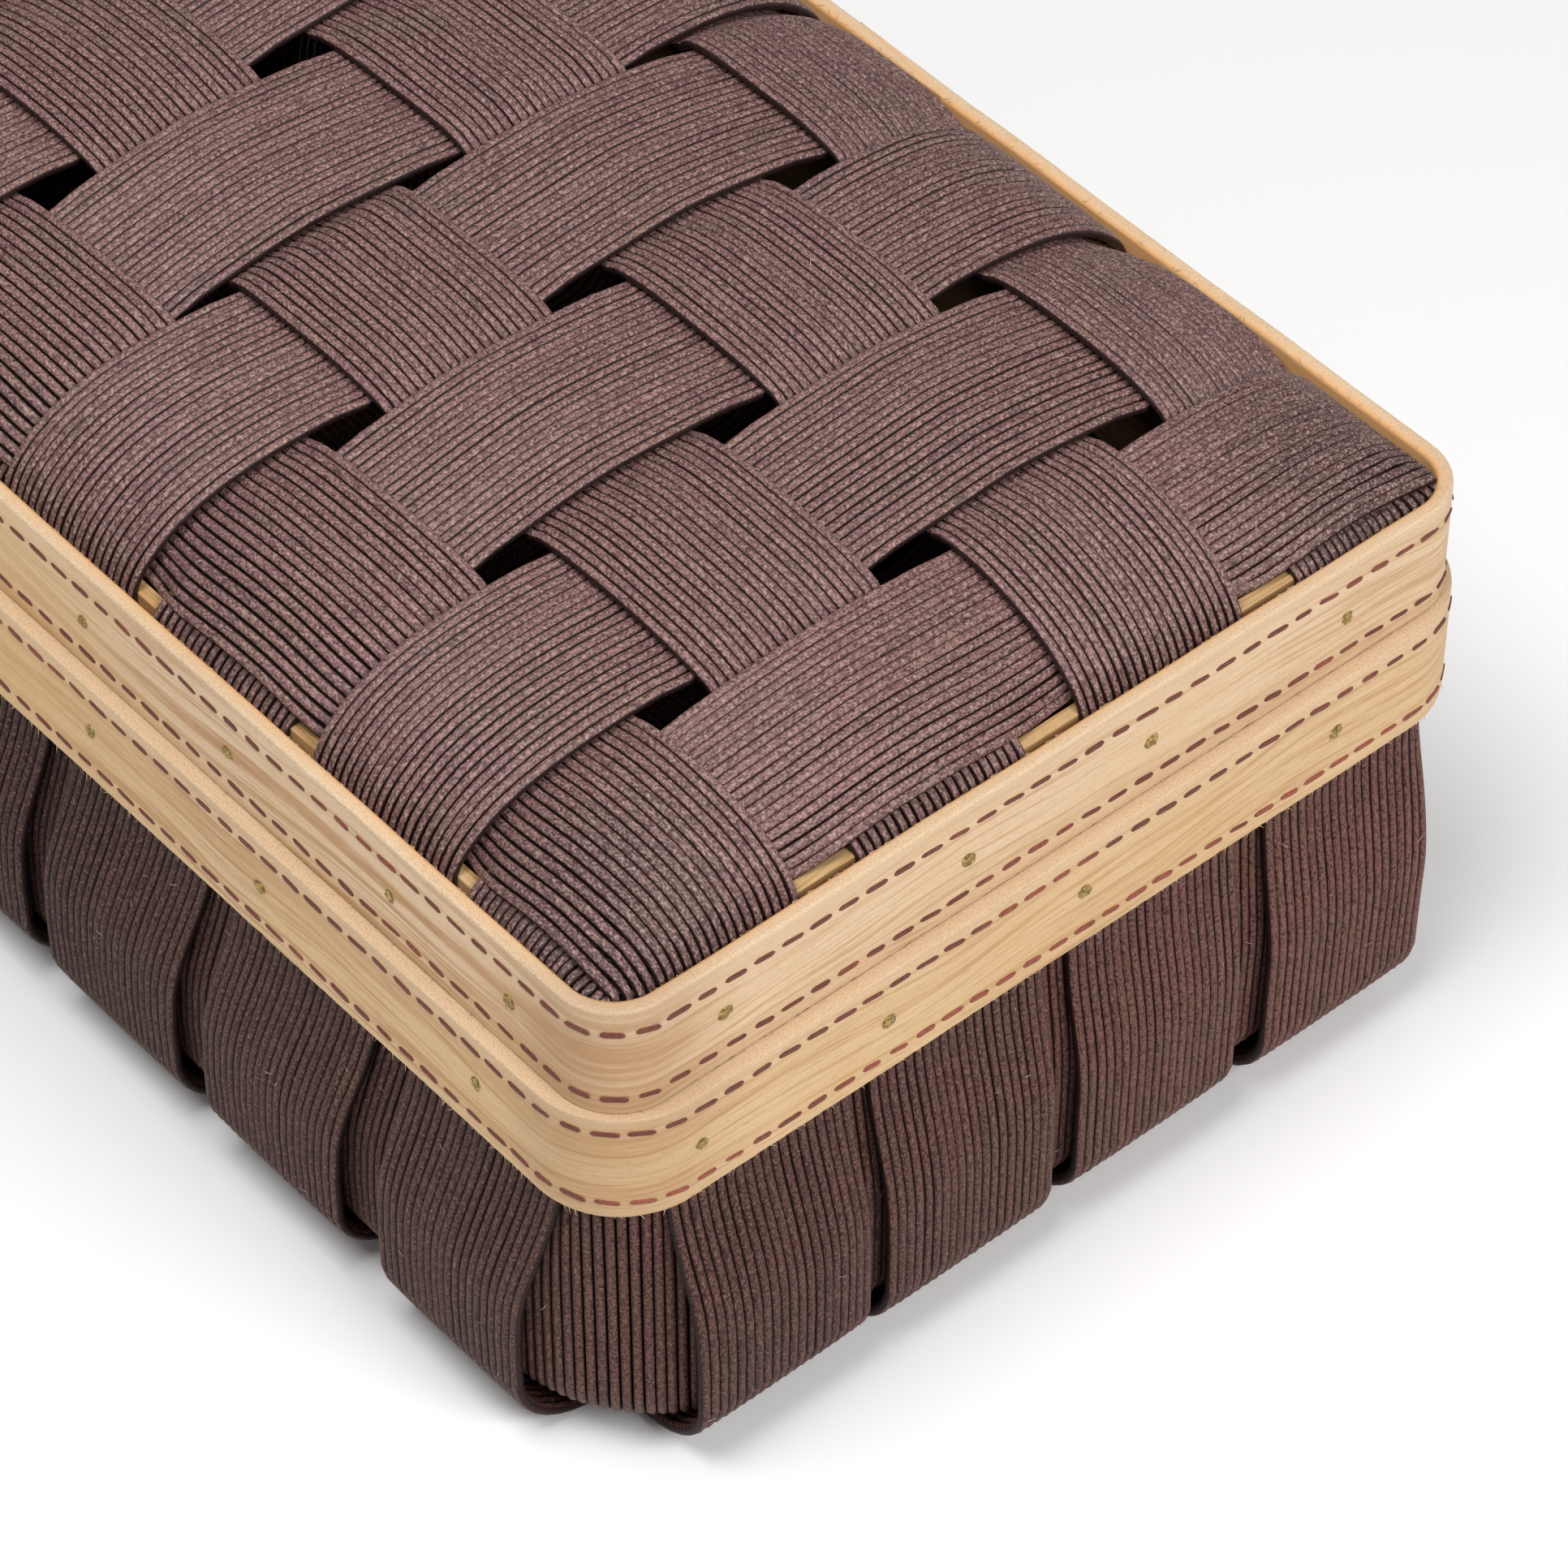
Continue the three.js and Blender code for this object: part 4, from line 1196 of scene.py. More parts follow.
class BASKET_OT_bands(Operator):
    """Bend the five veneer bands round the lid and the base"""
    bl_idname = "basket.bands"
    bl_label = "Veneer bands"

    def execute(self, context):
        veneer = context.scene.basket_veneer
        lid_wood = veneer_material("lid veneer", veneer, veneer.lid_colour, 0.0, 1.0, 0.80, 1.0)
        base_wood = veneer_material("base veneer", veneer, veneer.base_colour, 7.3, 0.6, 0.85, 0.0)
        inner_wood = veneer_material("inner veneer", veneer, veneer.inner_colour, 3.1, 0.6, 0.0, 0.0)
        locating_x, _, locating_low, locating_high = ring("lid_locating_band")
        outer, inner = veneer.outer_thickness, veneer.inner_thickness
        # node, outline, inset, thickness, levels, roundings in mm (top outside, top inside, foot),
        # wood, and for a band that shows how far its lower and upper edge wave
        bands = (
            ("lid_outer_band", "lid", 0, outer, BASE_TOP + veneer.rest_gap, LID_TOP,
             (veneer.rim_rounding / MM, 0.9, 0.12), lid_wood, (0, 1)),
            ("lid_inner_band", "lid", LID_INNER, inner + veneer.inner_swell, LID_LOW,
             INNER_TOP + veneer.inner_rise, (0.3, 0.2, 0.5), inner_wood, None),
            ("lid_locating_band", "base", BASE_X - locating_x, veneer.locating_thickness,
             locating_low, locating_high, (0.5, 0.4, 0.5), inner_wood, None),
            ("base_outer_band", "base", 0, outer, BAND_LOW, BASE_TOP, (0.25, 0.15, 0.3), base_wood, (1, 0)),
            ("base_inner_band", "base", BASE_INNER, inner, BAND_LOW, BASE_TOP,
             (0.4, 0.4, 0.5), inner_wood, None),
        )
        for n, (node, shape, inset, thickness, low, high, roundings, wood, waves) in enumerate(bands):
            sway, frayed, step = (veneer.waviness, veneer.fray, 1.0) if waves else (0.0, 0.0, 4.0)
            mesh = band_mesh(node.replace("band", "veneer"), shape, inset, thickness, low, high,
                             [size * MM for size in roundings], veneer.lap, sway, frayed,
                             waves or (0, 0), step * MM, 40 + n)
            mesh.materials.append(wood)
            finish_piece(put(mesh.name, mesh), node.split("_")[0],
                         (node,))
        return {"FINISHED"}


# Stitching

THREAD_PROUD = 0.06 * MM


def stitch_tree():
    """Stitches: short tapered threads laid end to end along a path"""
    tree, maker, given = new_tree("stitch row", (
        ("Pitch", "Float"), ("Length", "Float"), ("Width", "Float"), ("Seed", "Int"),
        ("Thread material", "Material")))
    curve = maker.out("GeometryNodeMeshToCurve", {"Mesh": given["Geometry"]})
    even = maker.resampled(curve, Length=given["Pitch"])
    line = maker.out("GeometryNodeCurvePrimitiveLine", {"Start": (-0.5, 0, 0), "End": (0.5, 0, 0)})
    dash = maker.resampled(line, Count=9)
    share = maker.add("GeometryNodeSplineParameter").outputs["Factor"]
    from_middle = maker.math("ABSOLUTE", maker.line(share, 2.0, -1.0))
    taper = maker.line(maker.math("SUBTRACT", 1.0, maker.math("POWER", from_middle, 9.0)), 0.6, 0.4)
    circle = maker.out("GeometryNodeCurvePrimitiveCircle", {"Resolution": 8, "Radius": 0.5})
    thread = maker.tube(dash, circle, taper)
    seed = given["Seed"]
    size = maker.join(maker.times(given["Length"], maker.chance(seed, 0.82, 1.12, 1.0)),
                      maker.times(given["Width"], maker.chance(seed, 0.26, 0.34, 2.0)),
                      maker.times(given["Width"], maker.chance(seed, 0.82, 1.15, 3.0)))
    heading = maker.out("FunctionNodeAxesToRotation", {
        "Primary Axis": maker.out("GeometryNodeInputTangent"), "Secondary Axis": maker.outward()},
        primary_axis="X", secondary_axis="Y")
    placed = maker.out("GeometryNodeInstanceOnPoints", {
        "Points": even, "Instance": thread, "Scale": size,
        "Rotation": maker.turned(heading, y=maker.chance(seed, -0.15, 0.01, 4.0))})
    close_tree(maker, placed, given["Thread material"])
    return tree


class BASKET_OT_stitches(Operator):
    """Sew two rows of stitches round each outer band"""
    bl_idname = "basket.stitches"
    bl_label = "Stitching"

    def execute(self, context):
        stitches = context.scene.basket_stitches
        thread = thread_material(stitches)
        tree = stitch_tree()
        rows = (("lid", LID_LOW, stitches.lid_levels), ("base", BAND_LOW, stitches.base_levels))
        for n, (body, low, levels) in enumerate(rows):
            lines = [closed_line(body, -THREAD_PROUD, low + level) for level in levels]
            piece = grow(body + "_stitches", path_mesh(body + "_stitch_path", lines), tree, {
                "Pitch": stitches.pitch, "Length": stitches.length, "Width": stitches.width,
                "Seed": stitches.seed + n, "Thread material": thread})
            finish_piece(piece, body)
        return {"FINISHED"}


# Nails

# Millimetres: height over the band's lower edge, then distances along a long side from the lid's
# right end and along a short side from its front; the hidden sides have them turned half round
NAIL_PLACES = {
    "lid": (11.3, (24.6, 55.5, 99.0, 139.6, 180.0, 221.0, 262.0), (24.9, 77.3, 118.3, 163.8)),
    "base": (12.6, (30.8, 88.9, 136.5, 190.0, 247.0), (17.2, 57.8, 101.5, 160.3)),
}


def nail_tree():
    """Nails: a dented oval head on each point"""
    tree, maker, given = new_tree("nail heads", (
        ("Diameter", "Float"), ("Height", "Float"), ("Seed", "Int"), ("Nail material", "Material")))
    ball = maker.out("GeometryNodeMeshIcoSphere", {"Radius": 1.0, "Subdivisions": 4})
    seed = given["Seed"]
    radius = maker.times(given["Diameter"], 0.5)
    size = maker.join(maker.times(radius, maker.chance(seed, 0.85, 1.12, 1.0)),
                      maker.times(radius, maker.chance(seed, 0.72, 1.0, 2.0)),
                      maker.times(given["Height"], maker.chance(seed, 0.8, 1.15, 3.0)))
    upright = maker.out("FunctionNodeAlignRotationToVector", {"Vector": maker.outward()}, axis="Z")
    turned = maker.turned(upright, maker.chance(seed, -0.10, 0.10, 4.0), maker.chance(seed, -0.10, 0.10, 5.0),
                          maker.chance(seed, 0.0, 6.28, 6.0))
    placed = maker.out("GeometryNodeInstanceOnPoints", {
        "Points": given["Geometry"], "Instance": ball, "Rotation": turned, "Scale": size})
    real = maker.out("GeometryNodeRealizeInstances", {"Geometry": placed})
    dents = maker.add("ShaderNodeTexNoise", {
        "Vector": maker.out("GeometryNodeInputPosition"), "Scale": 1500.0, "Detail": 1.0})
    centred = maker.vector("SUBTRACT", dents.outputs["Color"], (0.5, 0.5, 0.5))
    rough = maker.moved(real, Offset=maker.vector("SCALE", centred, scale=0.62 * MM))
    close_tree(maker, rough, given["Nail material"])
    return tree


class BASKET_OT_nails(Operator):
    """Drive the small nails between the rows of stitching"""
    bl_idname = "basket.nails"
    bl_label = "Nails"

    def execute(self, context):
        nails = context.scene.basket_nails
        brass = nail_material(nails)
        tree = nail_tree()
        for n, (body, low) in enumerate((("lid", LID_LOW), ("base", BAND_LOW))):
            half_x, half_y, _ = outline(body)
            level, front, side = NAIL_PLACES[body]
            source = np.random.default_rng(nails.seed + n)

            def unevenly():
                return low + level * MM + source.uniform(-0.5, 0.5) * MM

            places, outs = [], []
            for distance in front:
                for sign in (-1, 1):
                    places.append((sign * (distance * MM - LID_X), sign * half_y, unevenly()))
                    outs.append((0, sign, 0))
            for distance in side:
                for sign in (1, -1):
                    places.append((sign * half_x, sign * (distance * MM - LID_Y), unevenly()))
                    outs.append((sign, 0, 0))
            piece = grow(body + "_nails", marked_mesh(body + "_nail_points", places, outs), tree, {
                "Diameter": nails.diameter, "Height": nails.height,
                "Seed": nails.seed + n, "Nail material": brass})
            finish_piece(piece, body)
        return {"FINISHED"}


# Fibres

PAPER_FIBRE = (0.80, 0.68, 0.62)
WOOD_SPLINTER = (0.78, 0.56, 0.34)


def tapered_hair(maker, given, count, sweep, arch, narrowing):
    """One hair along x, swept sideways, arched upwards and narrowing to its tip"""
    length = given["Length"]
    line = maker.out("GeometryNodeCurvePrimitiveLine", {"Start": (0, 0, 0), "End": maker.join(length)})
    share = maker.add("GeometryNodeSplineParameter").outputs["Factor"]
    rise = maker.times(share, maker.math("SUBTRACT", 1.25, share), arch, length) if arch else None
    hair = maker.moved(maker.resampled(line, Count=count),
                       Offset=maker.join(None, maker.times(share, share, sweep, length), rise))
    circle = maker.out("GeometryNodeCurvePrimitiveCircle", {"Resolution": 4})
    scaled = maker.vector("SCALE", maker.out("GeometryNodeInputPosition"),
                          scale=maker.times(given["Width"], 0.5))
    profile = maker.moved(circle, Position=scaled)
    return maker.tube(hair, profile, maker.math("SUBTRACT", 1.0, maker.times(share, narrowing)))


def fibre_tree():
    """Fibres: thin bent tapering hairs on some of the given points"""
    tree, maker, given = new_tree("loose fibres", (
        ("Share", "Float"), ("Length", "Float"), ("Width", "Float"), ("Seed", "Int"),
        ("Fibre material", "Material")))
    seed = given["Seed"]
    upright = maker.out("FunctionNodeAlignRotationToVector", {"Vector": maker.outward()}, axis="Z")
    placed = maker.out("GeometryNodeInstanceOnPoints", {
        "Points": given["Geometry"], "Selection": maker.chosen(given["Share"], seed),
        "Instance": tapered_hair(maker, given, 6, 0.45, 0.7, 0.65),
        "Rotation": maker.turned(upright, y=maker.chance(seed, -0.1, 0.5, 4.0),
                                 z=maker.chance(seed, 0.0, 6.28, 5.0)),
        "Scale": maker.join(maker.chance(seed, 0.3, 1.8, 1.0), maker.chance(seed, -1.6, 1.6, 2.0),
                            maker.chance(seed, 0.2, 1.3, 3.0))})
    close_tree(maker, placed, given["Fibre material"])
    return tree


def splinter_tree():
    """Splinters: tapered slivers of wood along a band's edge"""
    tree, maker, given = new_tree("edge splinters", (
        ("Spacing", "Float"), ("Share", "Float"), ("Length", "Float"), ("Width", "Float"), ("Seed", "Int"),
        ("Splinter material", "Material")))
    seed = given["Seed"]
    curve = maker.out("GeometryNodeMeshToCurve", {"Mesh": given["Geometry"]})
    forward = maker.math("GREATER_THAN", maker.chance(seed, -0.6, 1.0, 4.0), 0.0)
    side = maker.math("SUBTRACT", maker.times(forward, 2.0), 1.0)
    outward = maker.outward()
    heading = maker.vector(
        "ADD", maker.vector("SCALE", maker.out("GeometryNodeInputTangent"), scale=side),
        maker.vector("SCALE", outward, scale=maker.chance(seed, 0.15, 1.1, 5.0)))
    placed = maker.out("GeometryNodeInstanceOnPoints", {
        "Points": maker.resampled(curve, Length=given["Spacing"]),
        "Selection": maker.chosen(given["Share"], seed),
        "Instance": tapered_hair(maker, given, 4, 0.35, 0, 0.85),
        "Rotation": maker.out("FunctionNodeAxesToRotation", {
            "Primary Axis": heading, "Secondary Axis": outward}, primary_axis="X", secondary_axis="Y"),
        "Scale": maker.join(maker.chance(seed, 0.25, 1.6, 1.0), maker.chance(seed, 0.5, 1.5, 2.0),
                            maker.chance(seed, 0.5, 1.5, 3.0))})
    close_tree(maker, placed, given["Splinter material"])
    return tree


class BASKET_OT_fibres(Operator):
    """Add the loose paper fibres and the splinters at the veneer's edges"""
    bl_idname = "basket.fibres"
    bl_label = "Loose fibres and splinters"

    def execute(self, context):
        fibres = context.scene.basket_fibres
        pale_fibre = fibre_material("loose paper fibre", PAPER_FIBRE)
        pale_wood = fibre_material("wood splinter", WOOD_SPLINTER)
        hairs = fibre_tree()
        for n, (body, share) in enumerate((("lid", fibres.lid_share), ("base", fibres.base_share))):
            spots = np.concatenate(FIBRE_PLACES[body])
            mesh = marked_mesh(body + "_fibre_places", spots[:, :3], spots[:, 3:])
            piece = grow(body + "_loose_fibres", mesh, hairs, {
                "Share": share, "Length": fibres.hair_length, "Width": fibres.hair_width,
                "Seed": fibres.seed + n, "Fibre material": pale_fibre})
            finish_piece(piece, body)
        slivers = splinter_tree()
        # inset and level of each edge in millimetres, and how far its splinters lean up in degrees
        edges = (("lid", ((0.1, BASE_TOP + 0.7 * MM, -5), (2.8, LID_TOP - 0.2 * MM, 50))),
                 ("base", ((0.2, BAND_LOW + 0.2 * MM, -50), (2.6, BAND_LOW + 0.15 * MM, -50))))
        for n, (body, places) in enumerate(edges):
            lines = [closed_line(body, inset * MM, level, math.radians(lean))
                     for inset, level, lean in places]
            piece = grow(body + "_splinters", path_mesh(body + "_splinter_path", lines), slivers, {
                "Spacing": fibres.splinter_spacing, "Share": fibres.splinter_share,
                "Length": fibres.splinter_length, "Width": fibres.splinter_width,
                "Seed": fibres.seed + 7 + n, "Splinter material": pale_wood})
            finish_piece(piece, body)
        return {"FINISHED"}


# Materials

PAINTED_BRASS_HIGHLIGHT = (0.85, 0.64, 0.27)


def lid_painted_light(maker, place):
    """Painted shade: darker at the lid's corners and towards its far side, and a painted sheen lighter across
    the middle towards the front
    """
    x, y, _ = maker.split(place)
    near_x = maker.spread(maker.math("ABSOLUTE", x), LID_X - 46 * MM, LID_X - 20 * MM)
    near_y = maker.spread(maker.math("ABSOLUTE", y), LID_Y - 48 * MM, LID_Y - 22 * MM)
    far = maker.spread(y, LID_Y - 56 * MM, LID_Y - 24 * MM)
    # painted sheen: a lighter band across the lid towards the front
    painted_middle_sheen = maker.spread(maker.math("ABSOLUTE", maker.plus(y, 45 * MM)), 50 * MM, 15 * MM)
    return maker.times(maker.line(maker.times(near_x, near_y), -0.40), maker.line(far, -0.12),
                       maker.line(painted_middle_sheen, 0.09))


def wall_painted_light(maker, place):
    """Painted light and shade: darker along the front and towards the left end, lighter towards the back"""
    x, y, _ = maker.split(place)
    # painted light, lighter towards the back and darker at the front
    painted_back_light = maker.spread(y, -BASE_Y + 4 * MM, BASE_Y - 16 * MM, 0.83, 1.66)
    return maker.times(painted_back_light, maker.line(maker.spread(x, 60 * MM, -20 * MM), -0.42))


def corner_painted_light(maker, place):
    """Painted light: the corner ribbons are painted a little lighter than the walls"""
    return maker.times(wall_painted_light(maker, place), 1.35)


def cord_material(name, crest_colour, warm_colour, painted_groove_colour, wear_and_painted_light,
                  gloss, groove_width, pit_shade_strength, painted_crest_shade):
    """Twisted paper cord: speckled crests and brown patches, with painted shade in the grooves, small pits,
    flanks and bent ends, a painted highlight on the crests and painted light by place
    """
    material, maker, shader = new_material(name)
    place = maker.object_place()
    crest = maker.math("ABSOLUTE", maker.attribute("crest"))
    tone, dusk = maker.attribute("tone"), maker.attribute("dusk")
    cord_place = maker.join(maker.attribute("along"), maker.times(maker.attribute("flank"), 0.0011),
                            maker.times(tone, 3.7))

    patches = maker.noise(place, 55.0, 3.0, 0.6)
    cord_patches = maker.noise(cord_place, (75.0, 1.0, 5.0), 3.0)
    body = maker.blend(maker.spread(patches, 0.42, 0.62), crest_colour, warm_colour)
    shade = maker.plus(maker.plus(maker.times(tone, 0.22), maker.times(cord_patches, 0.55)), 0.62)
    # painted shade on the bent ends
    shade = maker.times(shade, maker.line(dusk, -0.06),
                        # painted shade on each cord's flanks and a painted highlight on its crest
                        maker.spread(crest, 0.50, 1.0, 1.0 - painted_crest_shade, 1.0 + painted_crest_shade * 0.45),
                        # painted light and shade by where the cord lies
                        wear_and_painted_light(maker, place))
    body = maker.blend(1.0, body, maker.join(shade, shade, shade), "MULTIPLY")

    flecks = maker.noise(maker.vector("MULTIPLY", cord_place, (0.55, 1.0, 1.0)), 2900.0, 2.0, 0.6)
    coarse_flecks = maker.noise(place, 1650.0, 2.0, 0.7)
    light = maker.plus(maker.spread(flecks, 0.51, 0.63, 0.0, 0.46),
                       maker.spread(coarse_flecks, 0.53, 0.63, 0.0, 0.60))
    body = maker.blend(light, body, tinted(crest_colour, 2.45, 3.35, 3.1))
    dark = maker.plus(maker.spread(flecks, 0.49, 0.36, 0.0, 0.60),
                      maker.spread(coarse_flecks, 0.46, 0.37, 0.0, 0.58))
    body = maker.blend(dark, body, tinted(crest_colour, 0.22))

    # painted shade in the grooves between cords, wider on the bent ends, and in small pits
    merge = maker.noise(cord_place, (30.0, 1.0, 9.0))
    groove_top = maker.line(dusk, 0.09, maker.spread(merge, 0.32, 0.70, groove_width, groove_width - 0.15))
    on_top = maker.spread(crest, maker.math("SUBTRACT", groove_top, 0.18), groove_top)
    painted_groove_shade = maker.times(maker.math("SUBTRACT", 1.0, on_top), 0.98)
    painted_pit_shade = maker.noise(cord_place, (1150.0, 900.0, 23.0), 0.0)
    painted_pit_shade = maker.times(maker.spread(painted_pit_shade, 0.60, 0.70), maker.spread(crest, 0.93, 0.70), pit_shade_strength)
    body = maker.blend(maker.math("MAXIMUM", painted_groove_shade, painted_pit_shade), body, painted_groove_colour)

    grain = maker.plus(maker.times(flecks, 0.6), maker.times(coarse_flecks, 0.6))
    maker.fill(shader, {"Base Color": body, "Roughness": maker.line(flecks, 0.30, 0.38),
                        "Specular IOR Level": gloss, "Normal": maker.bump(grain, 0.85, 0.22)})
    return material


def veneer_material(name, veneer, pale, offset, streaks, rim_share, inner_tint):
    """Pale bent veneer with fine grain along the band and flowing brown streaks, and painted shade on its
    right short side
    """
    material, maker, shader = new_material(name)
    strip = maker.vector("ADD", maker.out("ShaderNodeUVMap", uv_map="grain"), (offset, offset * 0.31, offset))
    place = maker.object_place()
    x, y, _ = maker.split(place)
    front = maker.spread(y, -LID_Y + 6 * MM, -LID_Y + 34 * MM, 1.0, 0.30)
    right = maker.spread(x, LID_X - 30 * MM, LID_X - 4 * MM)
    near_corner = maker.times(right, maker.spread(y, -LID_Y + 34 * MM, -LID_Y + 8 * MM))
    knot = (LID_X - 9 * MM, -LID_Y + 2 * MM, LID_LOW + 12 * MM)
    from_knot = maker.vector("LENGTH", maker.vector("MULTIPLY", maker.vector("SUBTRACT", place, knot),
                                                    (46.0, 46.0, 165.0)))

    bend = maker.noise(strip, (9.0, 30.0, 1.0))
    bent = maker.vector("ADD", strip, maker.join(y=maker.times(bend, 0.022)))
    flow = maker.noise(bent, (5.0, 190.0, 1.0), 3.0, 0.6)
    lines = maker.noise(bent, (14.0, 800.0, 1.0), 3.0, 0.65)
    hairs = maker.noise(strip, (110.0, 2700.0, 1.0), 2.0, 0.6)
    pores = maker.noise(strip, (520.0, 2900.0, 1.0), 1.0)
    region = maker.noise(strip, (6.5, 20.0, 1.0), 1.0)
    clouds = maker.noise(place, 28.0)
    speckle = maker.noise(place, 1500.0, 1.0)
    cut_ends = maker.noise(place, 2600.0, 2.0, 0.7)

    heart = maker.times(maker.spread(flow, 0.46, 0.60), maker.spread(region, 0.28, 0.52, 0.0, 0.85), front,
                        streaks)
    brown_patch = maker.times(maker.spread(from_knot, 1.40, 0.40), maker.spread(lines, 0.34, 0.58, 0.50, 1.0))
    wood = maker.blend(maker.math("MAXIMUM", heart, brown_patch), pale, veneer.streak_colour)
    amber = maker.times(front, maker.spread(x, 50 * MM, -30 * MM, 0.0, 0.75))
    for share, factors in (
            (maker.times(maker.spread(lines, 0.51, 0.62), maker.line(front, 0.30, 0.48)), (0.62, 0.44, 0.27)),
            (maker.spread(hairs, 0.54, 0.68, 0.0, 0.34), (0.66, 0.54, 0.40)),
            (maker.spread(hairs, 0.47, 0.34, 0.0, 0.42), (1.12, 1.18, 1.28)),
            (maker.spread(pores, 0.62, 0.74, 0.0, 0.45), (0.60, 0.46, 0.32)),
            (maker.spread(clouds, 0.40, 0.68, 0.0, 0.25), (0.93, 0.86, 0.70)),
            (amber, (0.98, 0.90, 0.70)),
            (maker.spread(speckle, 0.55, 0.72, 0.0, 0.22), (0.70, 0.60, 0.48))):
        wood = maker.blend(share, wood, tinted(pale, *factors))
    edge_grain = maker.blend(maker.spread(cut_ends, 0.42, 0.66), veneer.rim_colour,
                             tinted(veneer.rim_colour, 0.80, 0.72, 0.62))
    wood = maker.blend(maker.times(maker.attribute("rim"), rim_share), wood, edge_grain)
    inside = maker.times(maker.attribute("inside"),
                         maker.spread(lines, 0.30, 0.60, 0.65 * inner_tint, inner_tint))
    wood = maker.blend(inside, wood, veneer.inside_colour)
    # painted shade on the right short side and round the near right corner
    painted_side_shade = maker.plus(maker.times(right, veneer.right_painted_shade),
                         maker.times(near_corner, veneer.corner_painted_shade))
    wood = maker.blend(painted_side_shade, wood, tinted(pale, 0.45, 0.38, 0.34))

    relief = maker.plus(maker.times(hairs, 0.8), maker.times(lines, 0.7))
    maker.fill(shader, {"Base Color": wood, "Roughness": maker.line(hairs, 0.25, 0.45),
                        "Specular IOR Level": 0.30, "Normal": maker.bump(relief, 0.5, 0.14)})
    return material


def thread_material(stitches):
    """Dark red-brown twisted thread, faded in places"""
    material, maker, shader = new_material("stitching thread")
    place = maker.object_place()
    x, _, z = maker.split(place)
    low_row = maker.times(maker.spread(z, BAND_LOW + 7 * MM, BAND_LOW + 5 * MM),
                          maker.spread(x, BASE_X - 10 * MM, BASE_X - 2 * MM))
    fade = maker.plus(maker.noise(place, 38.0), maker.line(low_row, 0.26, -0.07))
    twist = maker.noise(place, 1900.0, 2.0, 0.6)
    body = maker.blend(maker.spread(fade, 0.45, 0.72), stitches.colour,
                       tinted(stitches.colour, 2.0, 2.1, 2.0))
    body = maker.blend(maker.spread(twist, 0.48, 0.66, 0.0, 0.5), body, tinted(stitches.colour, 0.35))
    maker.fill(shader, {"Base Color": body, "Roughness": maker.line(twist, 0.3, 0.5),
                        "Normal": maker.bump(twist, 0.6, 0.15)})
    return material


def fibre_material(name, pale):
    """Pale dry fibre"""
    material, maker, shader = new_material(name)
    change = maker.noise(maker.object_place(), 300.0, 1.0)
    maker.fill(shader, {"Base Color": maker.blend(change, tinted(pale, 0.6), pale), "Roughness": 0.7})
    return material


def nail_material(nails):
    """Tarnished brass with bright spots painted as highlights"""
    material, maker, shader = new_material("nail brass")
    wear_and_painted_light = maker.noise(maker.object_place(), 1700.0, 3.0, 0.7)
    body = maker.blend(maker.spread(wear_and_painted_light, 0.40, 0.62), tinted(nails.colour, 0.30), nails.colour)
    # painted highlight spots on the brass
    body = maker.blend(maker.spread(wear_and_painted_light, 0.60, 0.72, 0.0, 0.6), body, PAINTED_BRASS_HIGHLIGHT)
    maker.fill(shader, {"Base Color": body, "Metallic": 0.35, "Roughness": maker.line(wear_and_painted_light, 0.35, 0.30),
                        "Normal": maker.bump(wear_and_painted_light, 0.8, 0.2)})
    return material


# Stage

FLOOR_REACH = 4.0
LIGHT_AIM = (0, 0, 0.08)
# place and width of each soft light
FRONT_LIGHT = ((0.10, -0.60, 1.70), 0.9)
RIGHT_LIGHT = ((1.30, 0.0, 1.20), 0.8)
SENSOR_WIDTH = 36.0


def area_light(name, place, size, power):
    """A round soft light aimed at the basket"""
    lamp = bpy.data.lights.new(name, "AREA")
    lamp.shape = "DISK"
    lamp.size = size
    lamp.energy = power
    holder = put(name, lamp)
    holder.location = place
    holder.rotation_euler = (Vector(LIGHT_AIM) - Vector(place)).to_track_quat("-Z", "Y").to_euler()


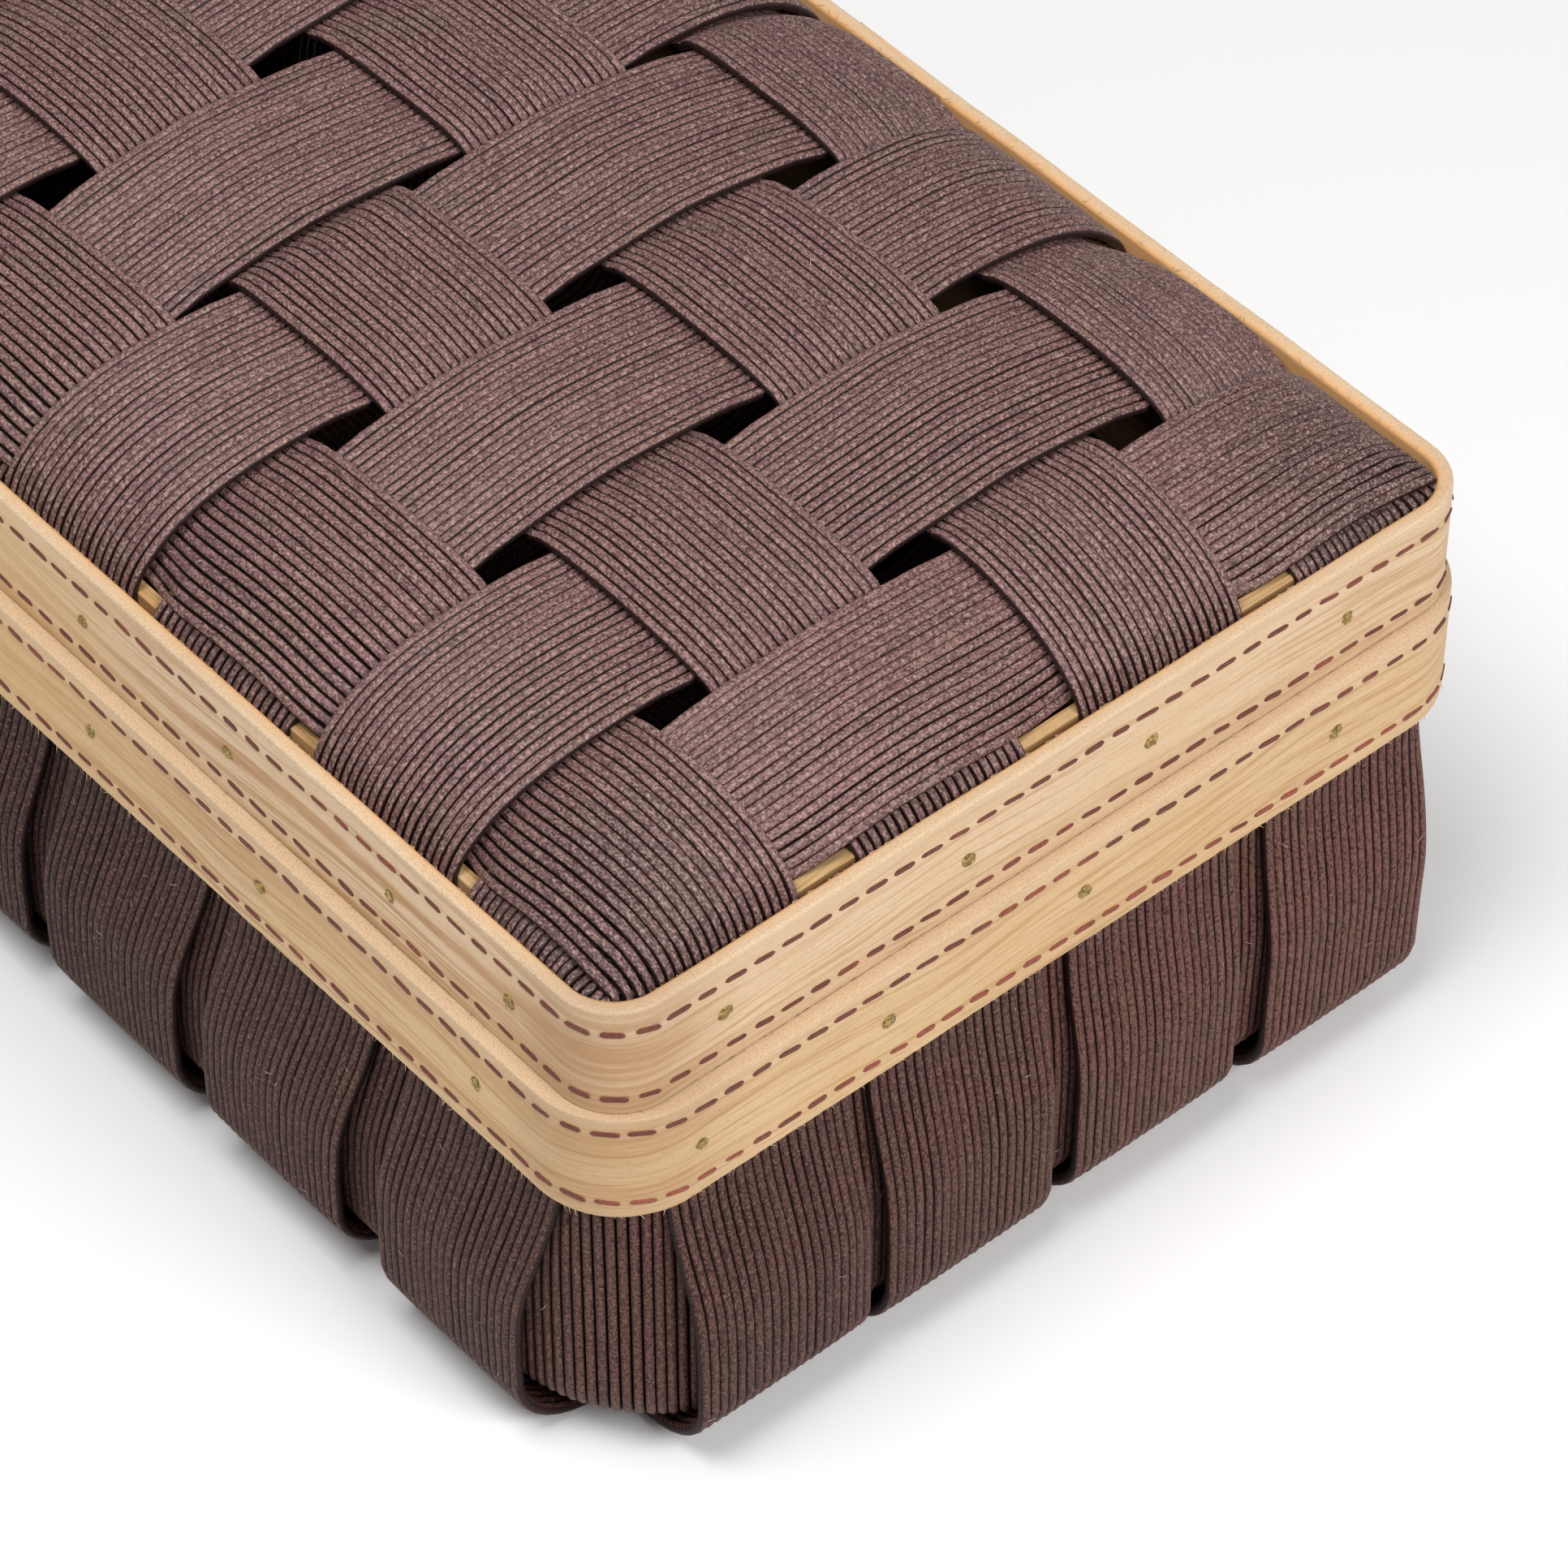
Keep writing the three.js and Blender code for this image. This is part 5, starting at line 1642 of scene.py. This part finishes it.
class BASKET_OT_stage(Operator):
    """Set out the pale floor, the soft lights and the camera"""
    bl_idname = "basket.stage"
    bl_label = "Stage"

    def execute(self, context):
        scene = context.scene
        stage = scene.basket_stage
        scene.view_settings.view_transform = "Standard"
        scene.view_settings.look = "None"
        mesh = bpy.data.meshes.new("floor")
        corners = ((-1, -1), (1, -1), (1, 1), (-1, 1))
        mesh.from_pydata([(x * FLOOR_REACH, y * FLOOR_REACH, 0) for x, y in corners], [], [(0, 1, 2, 3)])
        floor = put("floor", mesh)
        material, maker, shader = new_material("pale floor")
        cloud = maker.noise(maker.object_place(), 3.0)
        maker.fill(shader, {"Roughness": 0.9, "Specular IOR Level": 0.1, "Base Color": maker.blend(
            cloud, stage.floor_colour, tinted(stage.floor_colour, 0.985))})
        mesh.materials.append(material)

        world = bpy.data.worlds.new("white room")
        scene.world = world
        world.use_nodes = True
        ground = world.node_tree.nodes["Background"]
        ground.inputs["Color"].default_value = (1.0, 1.0, 1.0, 1.0)
        ground.inputs["Strength"].default_value = stage.surroundings
        area_light("front light", *FRONT_LIGHT, stage.front_power)
        area_light("right light", *RIGHT_LIGHT, stage.right_power)

        back = Vector((math.sin(stage.azimuth) * math.cos(stage.elevation),
                       -math.cos(stage.azimuth) * math.cos(stage.elevation),
                       math.sin(stage.elevation)))
        lens = bpy.data.cameras.new("photo view")
        lens.sensor_fit = "HORIZONTAL"
        lens.sensor_width = SENSOR_WIDTH
        lens.lens = stage.focal_length
        lens.clip_start = 0.01
        lens.clip_end = 50.0
        camera = put("photo view", lens)
        camera.location = Vector(stage.aim) + back * stage.distance
        camera.rotation_euler = back.to_track_quat("Z", "Y").to_euler()
        scene.camera = camera
        return {"FINISHED"}


# Panel

class BASKET_PT_panel(Panel):
    """Lists the basket's pieces in the sidebar"""
    bl_idname = "BASKET_PT_panel"
    bl_label = "Woven ribbon basket"
    bl_space_type = "VIEW_3D"
    bl_region_type = "UI"
    bl_category = "Basket"

    def draw(self, context):
        for operator in OPERATORS:
            self.layout.operator(operator.bl_idname)
        for name, group in SETTINGS:
            box = self.layout.box()
            box.label(text=group.__name__.replace("Settings", ""))
            settings = getattr(context.scene, name)
            for key in group.__annotations__:
                box.prop(settings, key)


OPERATORS = (
    BASKET_OT_stage,
    BASKET_OT_lid_ribbons,
    BASKET_OT_base_ribbons,
    BASKET_OT_fillers,
    BASKET_OT_bands,
    BASKET_OT_stitches,
    BASKET_OT_nails,
    BASKET_OT_fibres,
)


def register():
    for name, group in SETTINGS:
        bpy.utils.register_class(group)
        setattr(bpy.types.Scene, name, PointerProperty(type=group))
    for operator in OPERATORS:
        bpy.utils.register_class(operator)
    bpy.utils.register_class(BASKET_PT_panel)


def unregister():
    bpy.utils.unregister_class(BASKET_PT_panel)
    for operator in reversed(OPERATORS):
        bpy.utils.unregister_class(operator)
    for name, group in reversed(SETTINGS):
        delattr(bpy.types.Scene, name)
        bpy.utils.unregister_class(group)


def main():
    register()
    bpy.ops.basket.stage()
    bpy.ops.basket.lid_ribbons()
    bpy.ops.basket.base_ribbons()
    bpy.ops.basket.fillers()
    bpy.ops.basket.bands()
    bpy.ops.basket.stitches()
    bpy.ops.basket.nails()
    bpy.ops.basket.fibres()


if __name__ == "__main__":
    main()
